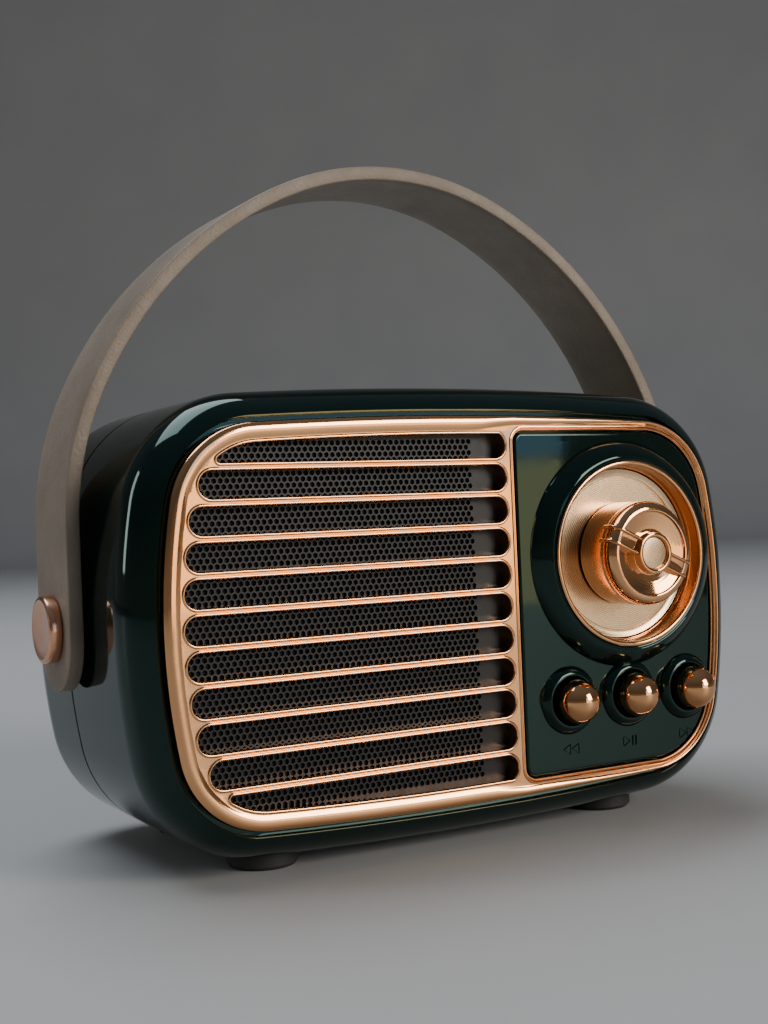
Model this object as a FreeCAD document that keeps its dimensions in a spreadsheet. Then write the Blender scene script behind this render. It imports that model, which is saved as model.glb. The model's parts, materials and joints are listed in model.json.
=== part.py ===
import FreeCAD, Part
import math
import os

import Sketcher
from FreeCAD import Placement, Rotation, Vector

# Small portable speaker styled as a vintage radio: a two-piece gloss case with a slotted
# metal grille bezel, a control panel with a dial and three keys, and a leather carrying strap.
# Frame: +Z up, the front faces -Y, +X to the right. The origin is on the surface the feet
# stand on, under the middle of the whole object. All lengths are in millimetres.
#
# Most sub-parts are drawn in panel coordinates: x to the right and y up from the middle of
# the bezel, and z forward from the bezel's front plane, so a depth behind that plane is -z.

SIZES = {
    # Case
    "case_width": (90.0, "width of the case at its middle"),
    "case_height": (57.0, "height of the case at its middle"),
    "case_depth": (45.0, "from the bezel plane to the back face"),
    "side_bow": (84.5, "radius of the bowed sides of the outline"),
    "top_bow": (552.0, "radius of the bowed top and bottom of the outline"),
    "corner_bend": (15.2, "radius of the outline's four corners"),
    "front_roll": (6.2, "radius of the rolled front edge"),
    "back_roll": (9.0, "radius of the rolled back edge"),
    "case_wall": (2.0, "thickness of the case walls"),
    "seam_depth": (24.7, "from the bezel plane to the seam between the shells"),
    "seam_bevel": (0.3, "bevel of both shells at the seam"),
    "lip_length": (2.0, "how far the rear shell's lip goes into the front shell"),
    "lip_wall": (0.9, "thickness of that lip"),
    "lip_play": (0.1, "play between the lip and the front shell"),
    # Bezel and grille
    "bezel_margin": (3.85, "from the case outline to the bezel outline"),
    "bezel_gap": (0.5, "open gap round the bezel"),
    "bezel_thick": (2.2, "thickness of the bezel"),
    "bezel_round": (0.8, "rounded front edge of the bezel"),
    "grille_border": (1.91, "from the bezel outline to the slots, above and below"),
    "bar_height": (0.98, "height of the bar between two slots"),
    "grille_inset": (2.55, "from the bezel outline to the slots' left ends"),
    "grille_end": (18.6, "from the dial's middle to the slots' right ends"),
    "mesh_thick": (0.4, "thickness of the perforated sheet"),
    "cloth_thick": (0.3, "thickness of the cloth behind it"),
    "mesh_border": (1.0, "how far the sheet and cloth reach past the slots"),
    "mesh_inset": (0.5, "how far the sheet and cloth stay inside the bezel outline"),
    "baffle_thick": (2.2, "thickness of the wall behind the bezel"),
    # Control panel
    "panel_reach": (17.2, "from the dial's middle to the panel opening's left edge"),
    "panel_border": (2.15, "from the bezel outline to that opening, above and below"),
    "panel_inset": (1.35, "from the bezel outline to that opening on the right"),
    "panel_gap": (0.55, "dark gap round the control panel"),
    "panel_sink": (0.3, "how far the panel face lies behind the bezel plane"),
    "panel_round": (0.5, "rounded front edge of the panel"),
    "panel_corner": (1.0, "rounded corners of the panel opening"),
    # Dial and knob
    "dial_inset": (20.6, "from the case's right side to the dial's middle"),
    "dial_drop": (22.6, "from the case's top to the dial's middle"),
    "collar_width": (2.85, "width of the collar round the dial's trim ring"),
    "collar_rise": (1.7, "how far the collar stands out of the bezel plane"),
    "collar_lip": (0.9, "width of the flat land round the trim ring"),
    "collar_land": (1.0, "how far the collar reaches in under the trim ring"),
    "ring_outer": (12.45, "outer radius of the dial's trim ring"),
    "ring_wall": (0.95, "wall of that ring"),
    "ring_reach": (1.9, "how far the ring stands out of the bezel plane"),
    "ring_round": (0.42, "rounded front of the ring"),
    "dial_sink": (0.9, "how far the dial plate lies behind the bezel plane"),
    "dial_thick": (0.6, "thickness of the dial plate"),
    "dial_play": (0.05, "radial play between the dial's pieces"),
    "knob_radius": (6.9, "radius of the volume knob"),
    "knob_reach": (6.6, "how far the knob stands out of the bezel plane"),
    "knob_play": (0.25, "gap between the knob and the dial plate"),
    "knob_bevel": (1.1, "bevel round the knob's front"),
    "knob_bore_depth": (4.6, "how far the shaft goes into the knob"),
    "pointer_width": (0.42, "width of each of the two pointer ridges"),
    "pointer_gap": (1.5, "clear distance between the ridges"),
    "pointer_rise": (0.35, "height of the ridges above the knob's face"),
    "pointer_end": (0.2, "from the ridges' ends to the knob's bevel"),
    "pointer_angle": (-24.0, "slope of the ridges, in degrees"),
    "hub_wall": (0.6, "thickness of the wall round the knob's centre disc"),
    "hub_inner": (2.1, "radius of the centre disc"),
    "hub_rise": (0.6, "height of that wall above the knob's face"),
    "disc_depth": (0.5, "depth of the seat of the knob's centre disc"),
    "disc_rise": (0.2, "how far that disc stands out of the knob's face"),
    "shaft_fit": (0.02, "radial play of the shaft in the knob"),
    "shaft_end": (1.0, "how far the shaft reaches past the baffle"),
    "shaft_radius": (3.0, "radius of the volume control's shaft"),
    "shaft_play": (0.04, "radial play of the shaft in its bushing"),
    "bushing_wall": (0.46, "wall of that bushing"),
    "pot_width": (11.0, "side of the volume control's square body"),
    "pot_height": (5.4, "depth of that body"),
    "bushing_gap": (0.4, "from the dial plate to the bushing"),
    "pot_bore": (1.5, "how far the bore runs past the baffle"),
    # Keys
    "key_pitch": (9.94, "distance between neighbouring keys"),
    "key_inset": (15.54, "from the case's bottom to the keys"),
    "key_ball": (2.88, "radius of each key's ball end"),
    "key_reach": (4.5, "how far a key stands out of the bezel plane"),
    "key_neck": (2.3, "radius of a key's neck"),
    "key_flange": (3.3, "radius of a key's retaining flange"),
    "key_flange_thick": (0.8, "thickness of that flange"),
    "key_play": (0.12, "radial play of a key in its hole"),
    "key_rest_gap": (0.1, "gap between the flange and the baffle at rest"),
    "key_travel": (0.5, "travel of a key"),
    "key_stem": (1.5, "radius of the stem that presses the switch"),
    "socket_outer": (4.7, "outer radius of the raised socket round a key"),
    "socket_top": (3.6, "radius of that socket's top"),
    "socket_rise": (1.1, "height of the socket above the panel"),
    "icon_inset": (9.1, "from the case's bottom to the key symbols"),
    "icon_size": (1.5, "height of the key symbols"),
    "icon_depth": (0.15, "depth of the key symbols"),
    # Key board
    "board_thick": (1.2, "thickness of both circuit boards"),
    "key_board_depth": (10.6, "from the bezel plane to the key board"),
    "key_board_left": (14.9, "from the dial's middle to the key board's left edge"),
    "key_board_right": (13.2, "from the dial's middle to its right edge"),
    "key_board_margin": (11.7, "from the case's top to the key board"),
    "key_screw_corner": (2.8, "from the key board's upper left corner to its first screw"),
    "key_screw_side": (2.4, "from the key board's right edge to its second screw"),
    "key_screw_drop": (5.0, "from the key board's top to its second screw"),
    "key_screw_rise": (4.5, "from the keys up to the screw between them"),
    "switch_width": (6.0, "side of a key switch's body"),
    "switch_height": (3.5, "height of that body"),
    "plunger_radius": (1.7, "radius of a key switch's plunger"),
    "plunger_spare": (0.2, "how far a plunger stands out past its travel"),
    "plunger_depth": (2.0, "from a plunger's back to the key board"),
    "switch_floor": (1.2, "floor of a key switch"),
    # Loudspeaker
    "driver_inset": (28.5, "from the case's left side to the loudspeaker's middle"),
    "flange_land": (1.7, "from the screw circle to the flange's rim"),
    "opening_play": (0.8, "from the surround's roll to the edge of the baffle's opening"),
    "screw_land": (1.8, "from the surround's lip to the screw circle"),
    "gasket_thick": (0.8, "thickness of the loudspeaker's gasket"),
    "basket_thick": (1.0, "thickness of the basket's sheet"),
    "basket_depth": (6.0, "from the flange to the basket's floor"),
    "magnet_radius": (13.0, "outer radius of the magnet"),
    "magnet_thick": (5.0, "thickness of the magnet"),
    "pole_plate": (1.5, "thickness of the two pole plates"),
    "pole_radius": (5.6, "radius of the centre pole"),
    "coil_radius": (6.1, "inner radius of the voice coil"),
    "coil_wall": (0.35, "thickness of the voice coil"),
    "coil_air": (0.35, "air on each side of the voice coil"),
    "cone_radius": (15.5, "outer radius of the cone"),
    "cone_air": (0.1, "air between the moving cone and the surround"),
    "cone_wall": (0.35, "thickness of the cone"),
    "cone_depth": (3.6, "depth of the cone"),
    "cap_rise": (1.9, "height of the dust cap's dome"),
    "surround_roll": (0.9, "radius of the surround's half roll"),
    "surround_lip": (0.9, "width of the surround's glued lip"),
    "surround_wall": (0.3, "thickness of the surround"),
    "magnet_setback": (1.2, "how far the magnet's bore stays behind the gap"),
    "spider_thick": (0.3, "thickness of the spider"),
    "spider_gap": (0.2, "from the spider to the basket's floor"),
    "spider_play": (0.15, "radial play of the spider round the coil"),
    "cone_sink": (0.2, "how far the cone's edge lies behind the flange"),
    "coil_sink": (1.0, "how far the coil reaches past the top plate"),
    # Main board, battery and sockets
    "main_board_setback": (11.6, "from the case's back to the main board's front"),
    "main_board_reach": (21.4, "from the dial's middle to the main board's left edge"),
    "main_board_inset": (9.0, "from the case's right side to the main board"),
    "main_board_margin": (13.0, "from the case's top to the main board"),
    "main_screw_inset": (2.5, "from the main board's edges to its screws"),
    "port_drop": (9.0, "height of the rear sockets below the bezel's middle"),
    "port_play": (0.15, "gap between a socket and the rear shell"),
    "jack_offset": (5.0, "from the main board's left edge to the audio socket"),
    "jack_radius": (3.0, "outer radius of the audio socket"),
    "jack_bore": (1.8, "radius of the audio socket's bore"),
    "usb_offset": (14.5, "from the main board's left edge to the charging socket"),
    "usb_width": (8.9, "width of the charging socket"),
    "usb_height": (3.2, "height of the charging socket"),
    "card_offset": (26.2, "from the main board's left edge to the card slot"),
    "card_width": (11.6, "width of the card slot"),
    "card_height": (1.5, "height of the card slot"),
    "port_sink": (0.6, "how far the sockets end before the back face"),
    "jack_floor": (0.8, "floor of the audio socket"),
    "usb_wall_side": (0.5, "side wall of the charging socket"),
    "usb_wall": (0.45, "wall of the charging socket above and below"),
    "usb_floor": (2.0, "floor of the charging socket"),
    "usb_tongue": (0.7, "thickness of the tongue in it"),
    "usb_tongue_inset": (1.3, "from that socket's sides to its tongue"),
    "usb_tongue_sink": (0.8, "how far the tongue ends inside"),
    "card_wall": (0.3, "wall of the card slot"),
    "card_floor": (1.0, "floor of the card slot"),
    "lamp_y": (3.0, "height of the charge lamp above the bezel's middle"),
    "lamp_radius": (1.0, "radius of the charge lamp"),
    "lamp_sink": (0.2, "how far the lamp ends before the back face"),
    "battery_width": (28.0, "width of the battery"),
    "battery_height": (36.0, "height of the battery"),
    "battery_thick": (6.0, "thickness of the battery"),
    "battery_round": (2.0, "rounded corners of the battery"),
    "tape_margin": (4.0, "from the battery's edges to its tape"),
    "battery_inset": (26.5, "from the case's left side to the battery's middle"),
    "tape_thick": (1.0, "thickness of the foam tape behind the battery"),
    "can_width": (13.0, "width of the radio module's can"),
    "can_height": (10.0, "height of that can"),
    "can_rise": (2.2, "how far it stands off the board"),
    "can_inset": (2.0, "from the main board's left edge to that can"),
    "can_lift": (1.0, "how far its middle lies above the board's middle"),
    "chip_width": (5.0, "width of the amplifier chip"),
    "chip_height": (6.0, "height of that chip"),
    "chip_rise": (1.5, "how far it stands off the board"),
    "chip_inset": (19.0, "from the main board's left edge to that chip"),
    "plug_inset": (4.0, "from the main board's left edge to the lead connectors"),
    "plug_width": (12.0, "width of the lead connectors"),
    "plug_height": (5.0, "height of the lead connectors"),
    "plug_rise": (4.5, "how far they stand off the board"),
    "plug_lift": (1.5, "from the board's lower edge to the connectors"),
    "drum_radius": (2.5, "radius of a smoothing capacitor"),
    "drum_height": (6.0, "how far a capacitor stands off the board"),
    "drum_inset": (21.0, "from the main board's left edge to the first capacitor"),
    "drum_pitch": (6.5, "from one capacitor to the next"),
    # Fasteners
    "boss_wall": (1.8, "wall of the case's screw bosses"),
    "boss_inset_x": (9.0, "from the case's sides to the case screws"),
    "boss_inset_y": (8.5, "from the case's top and bottom to the case screws"),
    "hole_play": (0.1, "radial play of every screw in its hole"),
    "screw_shank": (1.1, "radius of a case screw's shank"),
    "screw_head": (2.1, "radius of a case screw's head"),
    "well_play": (0.4, "room round a case screw's head"),
    "screw_bite": (9.0, "how far a case screw goes into its boss"),
    "screw_head_rise": (1.6, "height of a case screw's head"),
    "small_shank": (0.8, "radius of a small screw's shank"),
    "small_head": (1.6, "radius of a small screw's head"),
    "small_head_rise": (0.8, "height of a small screw's head"),
    "small_wall": (0.8, "wall of a small screw boss"),
    "pilot_tip": (1.0, "how far a pilot hole runs past its screw"),
    "driver_pilot": (1.2, "depth of the loudspeaker screws' pilot holes"),
    "key_screw_length": (4.0, "length of a key board screw under its head"),
    "driver_screw_length": (2.6, "length of a loudspeaker screw under its head"),
    "main_screw_length": (5.0, "length of a main board screw under its head"),
    # Feet
    "foot_rise": (1.3, "height of the feet under the case"),
    "foot_radius": (4.5, "radius of a foot"),
    "foot_inset": (19.0, "from the case's sides to the feet"),
    "foot_front": (10.0, "from the bezel plane to the front feet"),
    "foot_setback": (10.5, "from the case's back to the rear feet"),
    "foot_seat": (0.6, "how deep a foot is let into the case"),
    "foot_play": (0.1, "radial play of a foot in its seat"),
    "foot_bevel": (0.4, "bevel under a foot"),
    # Strap
    "strap_width": (13.2, "width of the leather strap"),
    "strap_thick": (1.8, "thickness of the leather strap"),
    "strap_gap": (0.55, "gap between the strap and the case side"),
    "strap_seam_gap": (0.1, "gap between the strap's boss and the seam"),
    "strap_spring": (16.25, "from the case's top down to where the strap starts to arch"),
    "strap_tail": (7.7, "from the pivot to the strap's rounded end"),
    "strap_bend": (40.0, "bend radius at the arch's sides and top"),
    "strap_bend_turn": (25.0, "turn of each of those bends, in degrees"),
    "pivot_radius": (2.0, "radius of the shoulder the strap turns on"),
    "pivot_play": (0.06, "radial play of the strap on that shoulder"),
    "pivot_slack": (0.05, "side play of the strap under the screw head"),
    "spacer_land": (1.0, "how far the strap's spacer is wider than the boss"),
    "strap_screw_head": (4.15, "radius of the strap screw's head"),
    "strap_screw_rise": (1.65, "thickness of that head"),
    "strap_screw_thread": (1.25, "radius of the strap screw's thread"),
    "strap_screw_length": (5.0, "length of that thread"),
    "strap_screw_bevel": (0.35, "bevel of that head"),
    "strap_boss_wall": (0.7, "wall of the boss behind the strap's pivot"),
    "notch_play": (0.4, "room that the lip leaves round that boss"),
    "insert_wall": (0.65, "wall of the threaded insert"),
    # Leads
    "lead_radius": (0.55, "radius of an insulated lead"),
    "lead_pitch": (2.0, "from one lead to the next at the connectors"),
}

SLOT_COUNT = 11
ROUND_END = 0.48  # radius of a slot's rounded ends, as a share of its height
TAPERED_END = 0.3  # the same for the first and the last slot
OPEN_END = 20.0  # how far a cutter runs past what it cuts
MERGE = 1.0  # how far fused pieces and short cutters run into what is next to them
BULGE_REACH, BULGE_RISE = 0.45, 0.72  # the middle of the collar's slope, as shares of it
SYMBOL_STEP = 0.9  # width of one triangle of a key symbol, as a share of its height

doc = FreeCAD.newDocument("portable_speaker")
sheet = doc.addObject("Spreadsheet::Sheet", "Sizes")
for row, (name, (value, note)) in enumerate(SIZES.items(), start=1):
    sheet.set("A%d" % row, name)
    sheet.set("B%d" % row, str(value))
    sheet.set("C%d" % row, note)
    sheet.setAlias("B%d" % row, name)
doc.recompute()


class Size(float):
    """A length that carries its value and the sheet expression that it comes from."""

    def __new__(cls, value, text=None):
        size = super().__new__(cls, value)
        size.text = text or repr(float(value))
        return size

    def joined(self, sign, other, value, swap=False):
        pair = [self.text, Size(other, getattr(other, "text", None)).text]
        if swap:
            pair.reverse()
        return Size(value, "(%s %s %s)" % (pair[0], sign, pair[1]))

    def __add__(self, other):
        return self.joined("+", other, float(self) + float(other))

    def __radd__(self, other):
        return self.joined("+", other, float(other) + float(self), swap=True)

    def __sub__(self, other):
        return self.joined("-", other, float(self) - float(other))

    def __rsub__(self, other):
        return self.joined("-", other, float(other) - float(self), swap=True)

    def __mul__(self, other):
        return self.joined("*", other, float(self) * float(other))

    def __rmul__(self, other):
        return self.joined("*", other, float(other) * float(self), swap=True)

    def __truediv__(self, other):
        return self.joined("/", other, float(self) / float(other))

    def __neg__(self):
        return Size(-float(self), "(0 - %s)" % self.text)


class Sheet:
    """Every driving dimension as an attribute, read from the spreadsheet."""


S = Sheet()
for name in SIZES:
    setattr(S, name, Size(sheet.get(name), "Sizes.%s" % name))

# Levels worked out from the driving dimensions. Depths count back from the bezel plane.
bezel_y = (S.knob_reach - S.case_depth) / 2
middle_z = S.foot_rise + S.case_height / 2
half_width = S.case_width / 2
half_height = S.case_height / 2
S.dial_x = half_width - S.dial_inset
S.dial_y = half_height - S.dial_drop
S.ring_inner = S.ring_outer - S.ring_wall
S.collar_outer = S.ring_outer + S.collar_width
S.hub_outer = S.hub_inner + S.hub_wall
S.bushing_radius = S.shaft_radius + S.shaft_play + S.bushing_wall
S.grille_right = S.dial_x - S.grille_end
S.slot_pitch = (half_height - S.bezel_margin - S.grille_border) / (SLOT_COUNT / 2)
S.panel_left = S.dial_x - S.panel_reach
S.panel_rise = half_height - S.bezel_margin - S.panel_border
S.key_drop = half_height - S.key_inset
S.icon_drop = half_height - S.icon_inset
S.board_left = S.dial_x - S.key_board_left
S.board_right = S.dial_x + S.key_board_right
S.board_rise = half_height - S.key_board_margin
S.driver_x = S.driver_inset - half_width
S.surround_outer = S.cone_radius + S.cone_air + 2 * S.surround_roll
S.driver_opening = S.surround_outer + S.opening_play
S.driver_screws = S.surround_outer + S.surround_lip + S.screw_land
S.driver_flange = S.driver_screws + S.flange_land
S.main_board_depth = S.case_depth - S.main_board_setback
S.main_board_left = S.dial_x - S.main_board_reach
S.main_board_right = half_width - S.main_board_inset
S.main_board_rise = half_height - S.main_board_margin
S.jack_x = S.main_board_left + S.jack_offset
S.usb_x = S.main_board_left + S.usb_offset
S.card_x = S.main_board_left + S.card_offset
S.battery_x = S.battery_inset - half_width
S.boss_x = half_width - S.boss_inset_x
S.boss_y = half_height - S.boss_inset_y
S.boss_radius = S.screw_shank + S.hole_play + S.boss_wall
S.small_boss = S.small_shank + S.hole_play + S.small_wall
S.screw_well = S.screw_head + S.well_play
S.foot_x = half_width - S.foot_inset
S.foot_back = S.case_depth - S.foot_setback
S.insert_radius = S.strap_screw_thread + S.insert_wall
S.strap_boss = S.insert_radius + S.strap_boss_wall
S.strap_depth = S.seam_depth - S.strap_boss - S.strap_seam_gap
S.strap_base = half_height - S.strap_spring
S.strap_rise = S.strap_base + half_width + S.strap_gap + S.strap_thick
mesh_back = S.bezel_thick + S.mesh_thick
cloth_back = mesh_back + S.cloth_thick
baffle_back = S.bezel_thick + S.baffle_thick
inner_back = S.case_depth - S.case_wall
dial_back = S.dial_sink + S.dial_thick
flange_front = baffle_back + S.gasket_thick
basket_back = flange_front + S.basket_thick + S.basket_depth
magnet_front = basket_back + S.pole_plate
magnet_back = magnet_front + S.magnet_thick
driver_back = magnet_back + S.pole_plate
main_board_back = S.main_board_depth + S.board_thick
switch_front = S.key_board_depth - S.switch_height
plunger_front = switch_front - S.key_travel - S.plunger_spare
coil_outer = S.coil_radius + S.coil_wall
gap_outer = coil_outer + S.coil_air
strap_inner_x = half_width + S.strap_gap
key_places = [S.dial_x - S.key_pitch, S.dial_x, S.dial_x + S.key_pitch]
key_names = ["previous", "play", "next"]

FORWARD = Rotation(Vector(1, 0, 0), 90)  # panel z points to the front, -Y
SIDEWAYS = Rotation(Vector(0, 1, 0), 90)


# ---------------------------------------------------------------- document helpers


def bind(feature, path, size):
    """Set a property from a size, and keep it bound to the sheet."""
    feature.setExpression(path, Size(size, getattr(size, "text", None)).text)


def place(feature, x=0.0, depth=0.0, y=0.0, rotation=FORWARD):
    """Put a feature at a point of the panel, its own z along the rotated axis."""
    feature.Placement = Placement(Vector(0, 0, 0), rotation)
    bind(feature, ".Placement.Base.x", x)
    bind(feature, ".Placement.Base.y", bezel_y + depth)
    bind(feature, ".Placement.Base.z", middle_z + y)
    return feature


def new_body(label):
    body = doc.addObject("PartDesign::Body", label)
    body.Label = label
    return body


def origin_plane(body, role):
    for feature in body.Origin.OriginFeatures:
        if feature.Role == role:
            return feature


def pin_point(drawing, line, corner, x, y):
    """Fix a point of the sketch at bound distances from its origin."""
    for kind, size in (("DistanceX", x), ("DistanceY", y)):
        index = drawing.addConstraint(Sketcher.Constraint(kind, -1, 1, line, corner, float(size)))
        bind(drawing, "Constraints[%d]" % index, size)


def draw_polygon(drawing, corners):
    first = drawing.GeometryCount
    points = [Vector(float(x), float(y), 0) for x, y in corners]
    for start, end in zip(points, points[1:] + points[:1]):
        drawing.addGeometry(Part.LineSegment(start, end), False)
    count = len(points)
    for step in range(count):
        after = first + (step + 1) % count
        drawing.addConstraint(Sketcher.Constraint("Coincident", first + step, 2, after, 1))
    for step, (x, y) in enumerate(corners):
        pin_point(drawing, first + step, 1, x, y)


def draw_circle(drawing, x, y, radius):
    centre = Vector(float(x), float(y), 0)
    circle = drawing.addGeometry(Part.Circle(centre, Vector(0, 0, 1), float(radius)), False)
    pin_point(drawing, circle, 3, x, y)
    index = drawing.addConstraint(Sketcher.Constraint("Radius", circle, float(radius)))
    bind(drawing, "Constraints[%d]" % index, radius)


def outline_arcs(offset):
    """The eight tangent arcs of the case outline, grown by offset: (centre, radius, from, to)."""
    side, top, bend = S.side_bow + offset, S.top_bow + offset, S.corner_bend + offset
    side_x = half_width + offset - side
    top_y = half_height + offset - top
    span, reach_side, reach_top = math.hypot(side_x, top_y), side - bend, top - bend
    along = (reach_side**2 - reach_top**2 + span**2) / (2 * span)
    across = math.sqrt(reach_side**2 - along**2)
    step_x, step_y = -side_x / span, top_y / span
    corner_x = side_x + along * step_x - across * step_y
    corner_y = along * step_y + across * step_x
    low = math.atan2(corner_y, corner_x - side_x)
    high = math.atan2(corner_y - top_y, corner_x)
    arcs = []
    for quarter in range(4):
        mirror_x = -1 if quarter in (1, 2) else 1
        mirror_y = -1 if quarter in (2, 3) else 1
        turned = [low, high] if mirror_x == mirror_y else [high, low]
        angles = [math.atan2(mirror_y * math.sin(a), mirror_x * math.cos(a)) for a in turned]
        arcs.append(((mirror_x * corner_x, mirror_y * corner_y), bend, angles[0], angles[1]))
    arcs.insert(0, ((side_x, 0), side, -low, low))
    arcs.insert(2, ((0, top_y), top, high, math.pi - high))
    arcs.insert(4, ((-side_x, 0), side, math.pi - low, math.pi + low))
    arcs.insert(6, ((0, -top_y), top, -math.pi + high, -high))
    return arcs


def arc_curve(centre, radius, start, end):
    circle = Part.Circle(Vector(centre[0], centre[1], 0), Vector(0, 0, 1), float(radius))
    end += 2 * math.pi if end < start else 0.0
    return Part.ArcOfCircle(circle, start, end)


def draw_outline(drawing, offset):
    """The case outline as eight arcs, tangent all round, with bound radii and centres."""
    first = drawing.GeometryCount
    arcs = outline_arcs(offset)
    for arc in arcs:
        drawing.addGeometry(arc_curve(*arc), False)
    for step in range(8):
        after = first + (step + 1) % 8
        drawing.addConstraint(Sketcher.Constraint("Tangent", first + step, 2, after, 1))
    radii = [S.side_bow, S.corner_bend, S.top_bow, S.corner_bend] * 2
    for step, radius in enumerate(radii):
        index = drawing.addConstraint(
            Sketcher.Constraint("Radius", first + step, float(radius + offset)))
        bind(drawing, "Constraints[%d]" % index, radius + offset)
    pin_point(drawing, first, 3, half_width - S.side_bow, 0.0)
    pin_point(drawing, first + 2, 3, 0.0, half_height - S.top_bow)
    pin_point(drawing, first + 4, 3, S.side_bow - half_width, 0.0)
    pin_point(drawing, first + 6, 3, 0.0, S.top_bow - half_height)


def new_sketch(body, depth, shapes, plane="XY_Plane"):
    """A sketch at a depth behind the bezel plane. shapes: ("outline", offset),
    ("circle", x, y, radius) or ("polygon", corners)."""
    drawing = body.newObject("Sketcher::SketchObject", body.Label + "_sketch")
    drawing.AttachmentSupport = [(origin_plane(body, plane), "")]
    drawing.MapMode = "FlatFace"
    bind(drawing, ".AttachmentOffset.Base.z", -Size(depth, getattr(depth, "text", None)))
    draw = {"outline": draw_outline, "circle": draw_circle, "polygon": draw_polygon}
    for kind, *details in shapes:
        draw[kind](drawing, *details)
    drawing.Visibility = False
    return drawing


def extrude(kind, body, shapes, front, back):
    feature_kind = "PartDesign::" + kind
    drawing = new_sketch(body, front, shapes)
    feature = body.newObject(feature_kind, body.Label + "_" + kind.lower())
    feature.Profile = drawing
    bind(feature, "Length", back - front)
    feature.Reversed = kind == "Pad"
    body.Tip = feature
    doc.recompute()
    return feature


def pad(body, shapes, front, back):
    """Add the drawn shapes, from one depth back to another."""
    return extrude("Pad", body, shapes, front, back)


def pocket(body, shapes, front, back):
    """Cut the drawn shapes, from one depth back to another."""
    before = body.Shape.Volume
    feature = extrude("Pocket", body, shapes, front, back)
    if body.Shape.Volume > before - 1e-3:
        raise RuntimeError("a pocket in %s cuts nothing" % body.Label)
    return feature


def edges_at(shape, test):
    return ["Edge%d" % number for number, edge in enumerate(shape.Edges, 1) if test(edge)]


def dress(kind, body, test, size):
    """Fillet or chamfer the edges of the body's tip that pass a test."""
    base = body.Tip
    names = edges_at(base.Shape, test)
    feature = body.newObject("PartDesign::" + kind, body.Label + "_" + kind.lower())
    feature.Base = (base, names)
    bind(feature, "Radius" if kind == "Fillet" else "Size", size)
    body.Tip = feature
    doc.recompute()
    return feature


def flat_edges(depth, reach=None):
    """A test for the edges that lie at a depth, and no nearer the middle than reach."""
    def test(edge):
        box = edge.BoundBox
        level = abs(box.ZMin + float(depth)) < 1e-4 and abs(box.ZMax + float(depth)) < 1e-4
        far = max(abs(box.XMin), abs(box.XMax), abs(box.YMin), abs(box.YMax))
        return level and (reach is None or far > float(reach))
    return test


def turned(label, profile):
    """A body of revolution about its own z. profile: corners as (radius, height)."""
    body = new_body(label)
    drawing = new_sketch(body, 0.0, [("polygon", profile)], plane="XZ_Plane")
    feature = body.newObject("PartDesign::Revolution", label + "_turn")
    feature.Profile = drawing
    feature.ReferenceAxis = (drawing, ["V_Axis"])
    feature.Angle = 360
    body.Tip = feature
    doc.recompute()
    return body


def ring_profile(inner, outer, front, back):
    """Corners of a plain ring or disc between two depths, for turned()."""
    return [(inner, -front), (outer, -front), (outer, -back), (inner, -back)]


def rectangle(left, right, low, high):
    return ("polygon", [(left, low), (right, low), (right, high), (left, high)])


def box_between(label, left, right, front, back, low, high):
    """A plain block as a bound Part::Box."""
    block = doc.addObject("Part::Box", label)
    block.Label = label
    bind(block, "Length", right - left)
    bind(block, "Width", back - front)
    bind(block, "Height", high - low)
    return place(block, left, front, low, rotation=Rotation())


def shape_node(label, shape, x=0.0, depth=0.0, y=0.0, rotation=FORWARD):
    """A node whose shape is built from curves with Part's own functions."""
    feature = doc.addObject("Part::Feature", label)
    feature.Label = label
    feature.Shape = shape
    return place(feature, x, depth, y, rotation)


def group(label, members):
    """Several identical solids in one node."""
    compound = doc.addObject("Part::Compound", label)
    compound.Label = label
    compound.Links = members
    return compound


def fused(label, members):
    feature = doc.addObject("Part::MultiFuse", label)
    feature.Shapes = members
    feature.Label = label
    return feature


def cut(label, base, *tools):
    """One document cut per tool, the last of them carrying the label."""
    result = base
    for number, tool in enumerate(tools, start=1):
        feature = doc.addObject("Part::Cut", "%s_cut%d" % (label, number))
        feature.Base = result
        feature.Tool = tool
        result = feature
    result.Label = label
    return result


def outline_face(offset):
    """The case outline, grown by offset, as a flat face in panel coordinates."""
    edges = [arc_curve(*arc).toShape() for arc in outline_arcs(offset)]
    return Part.Face(Part.Wire(Part.__sortEdges__(edges)))


def block_face(left, right, low, high):
    corners = [(left, low), (right, low), (right, high), (left, high), (left, low)]
    return Part.Face(Part.makePolygon([Vector(x, y, 0) for x, y in corners]))


def thickened(face, front, back):
    """A flat face made solid between two depths."""
    start = face.copy()
    start.translate(Vector(0, 0, -float(front)))
    return start.extrude(Vector(0, 0, -float(back - front)))


def rounded(face, radius):
    """The face with its outward corners rounded."""
    return face.makeOffset2D(-radius).makeOffset2D(radius)


# ---------------------------------------------------------------- case


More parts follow.
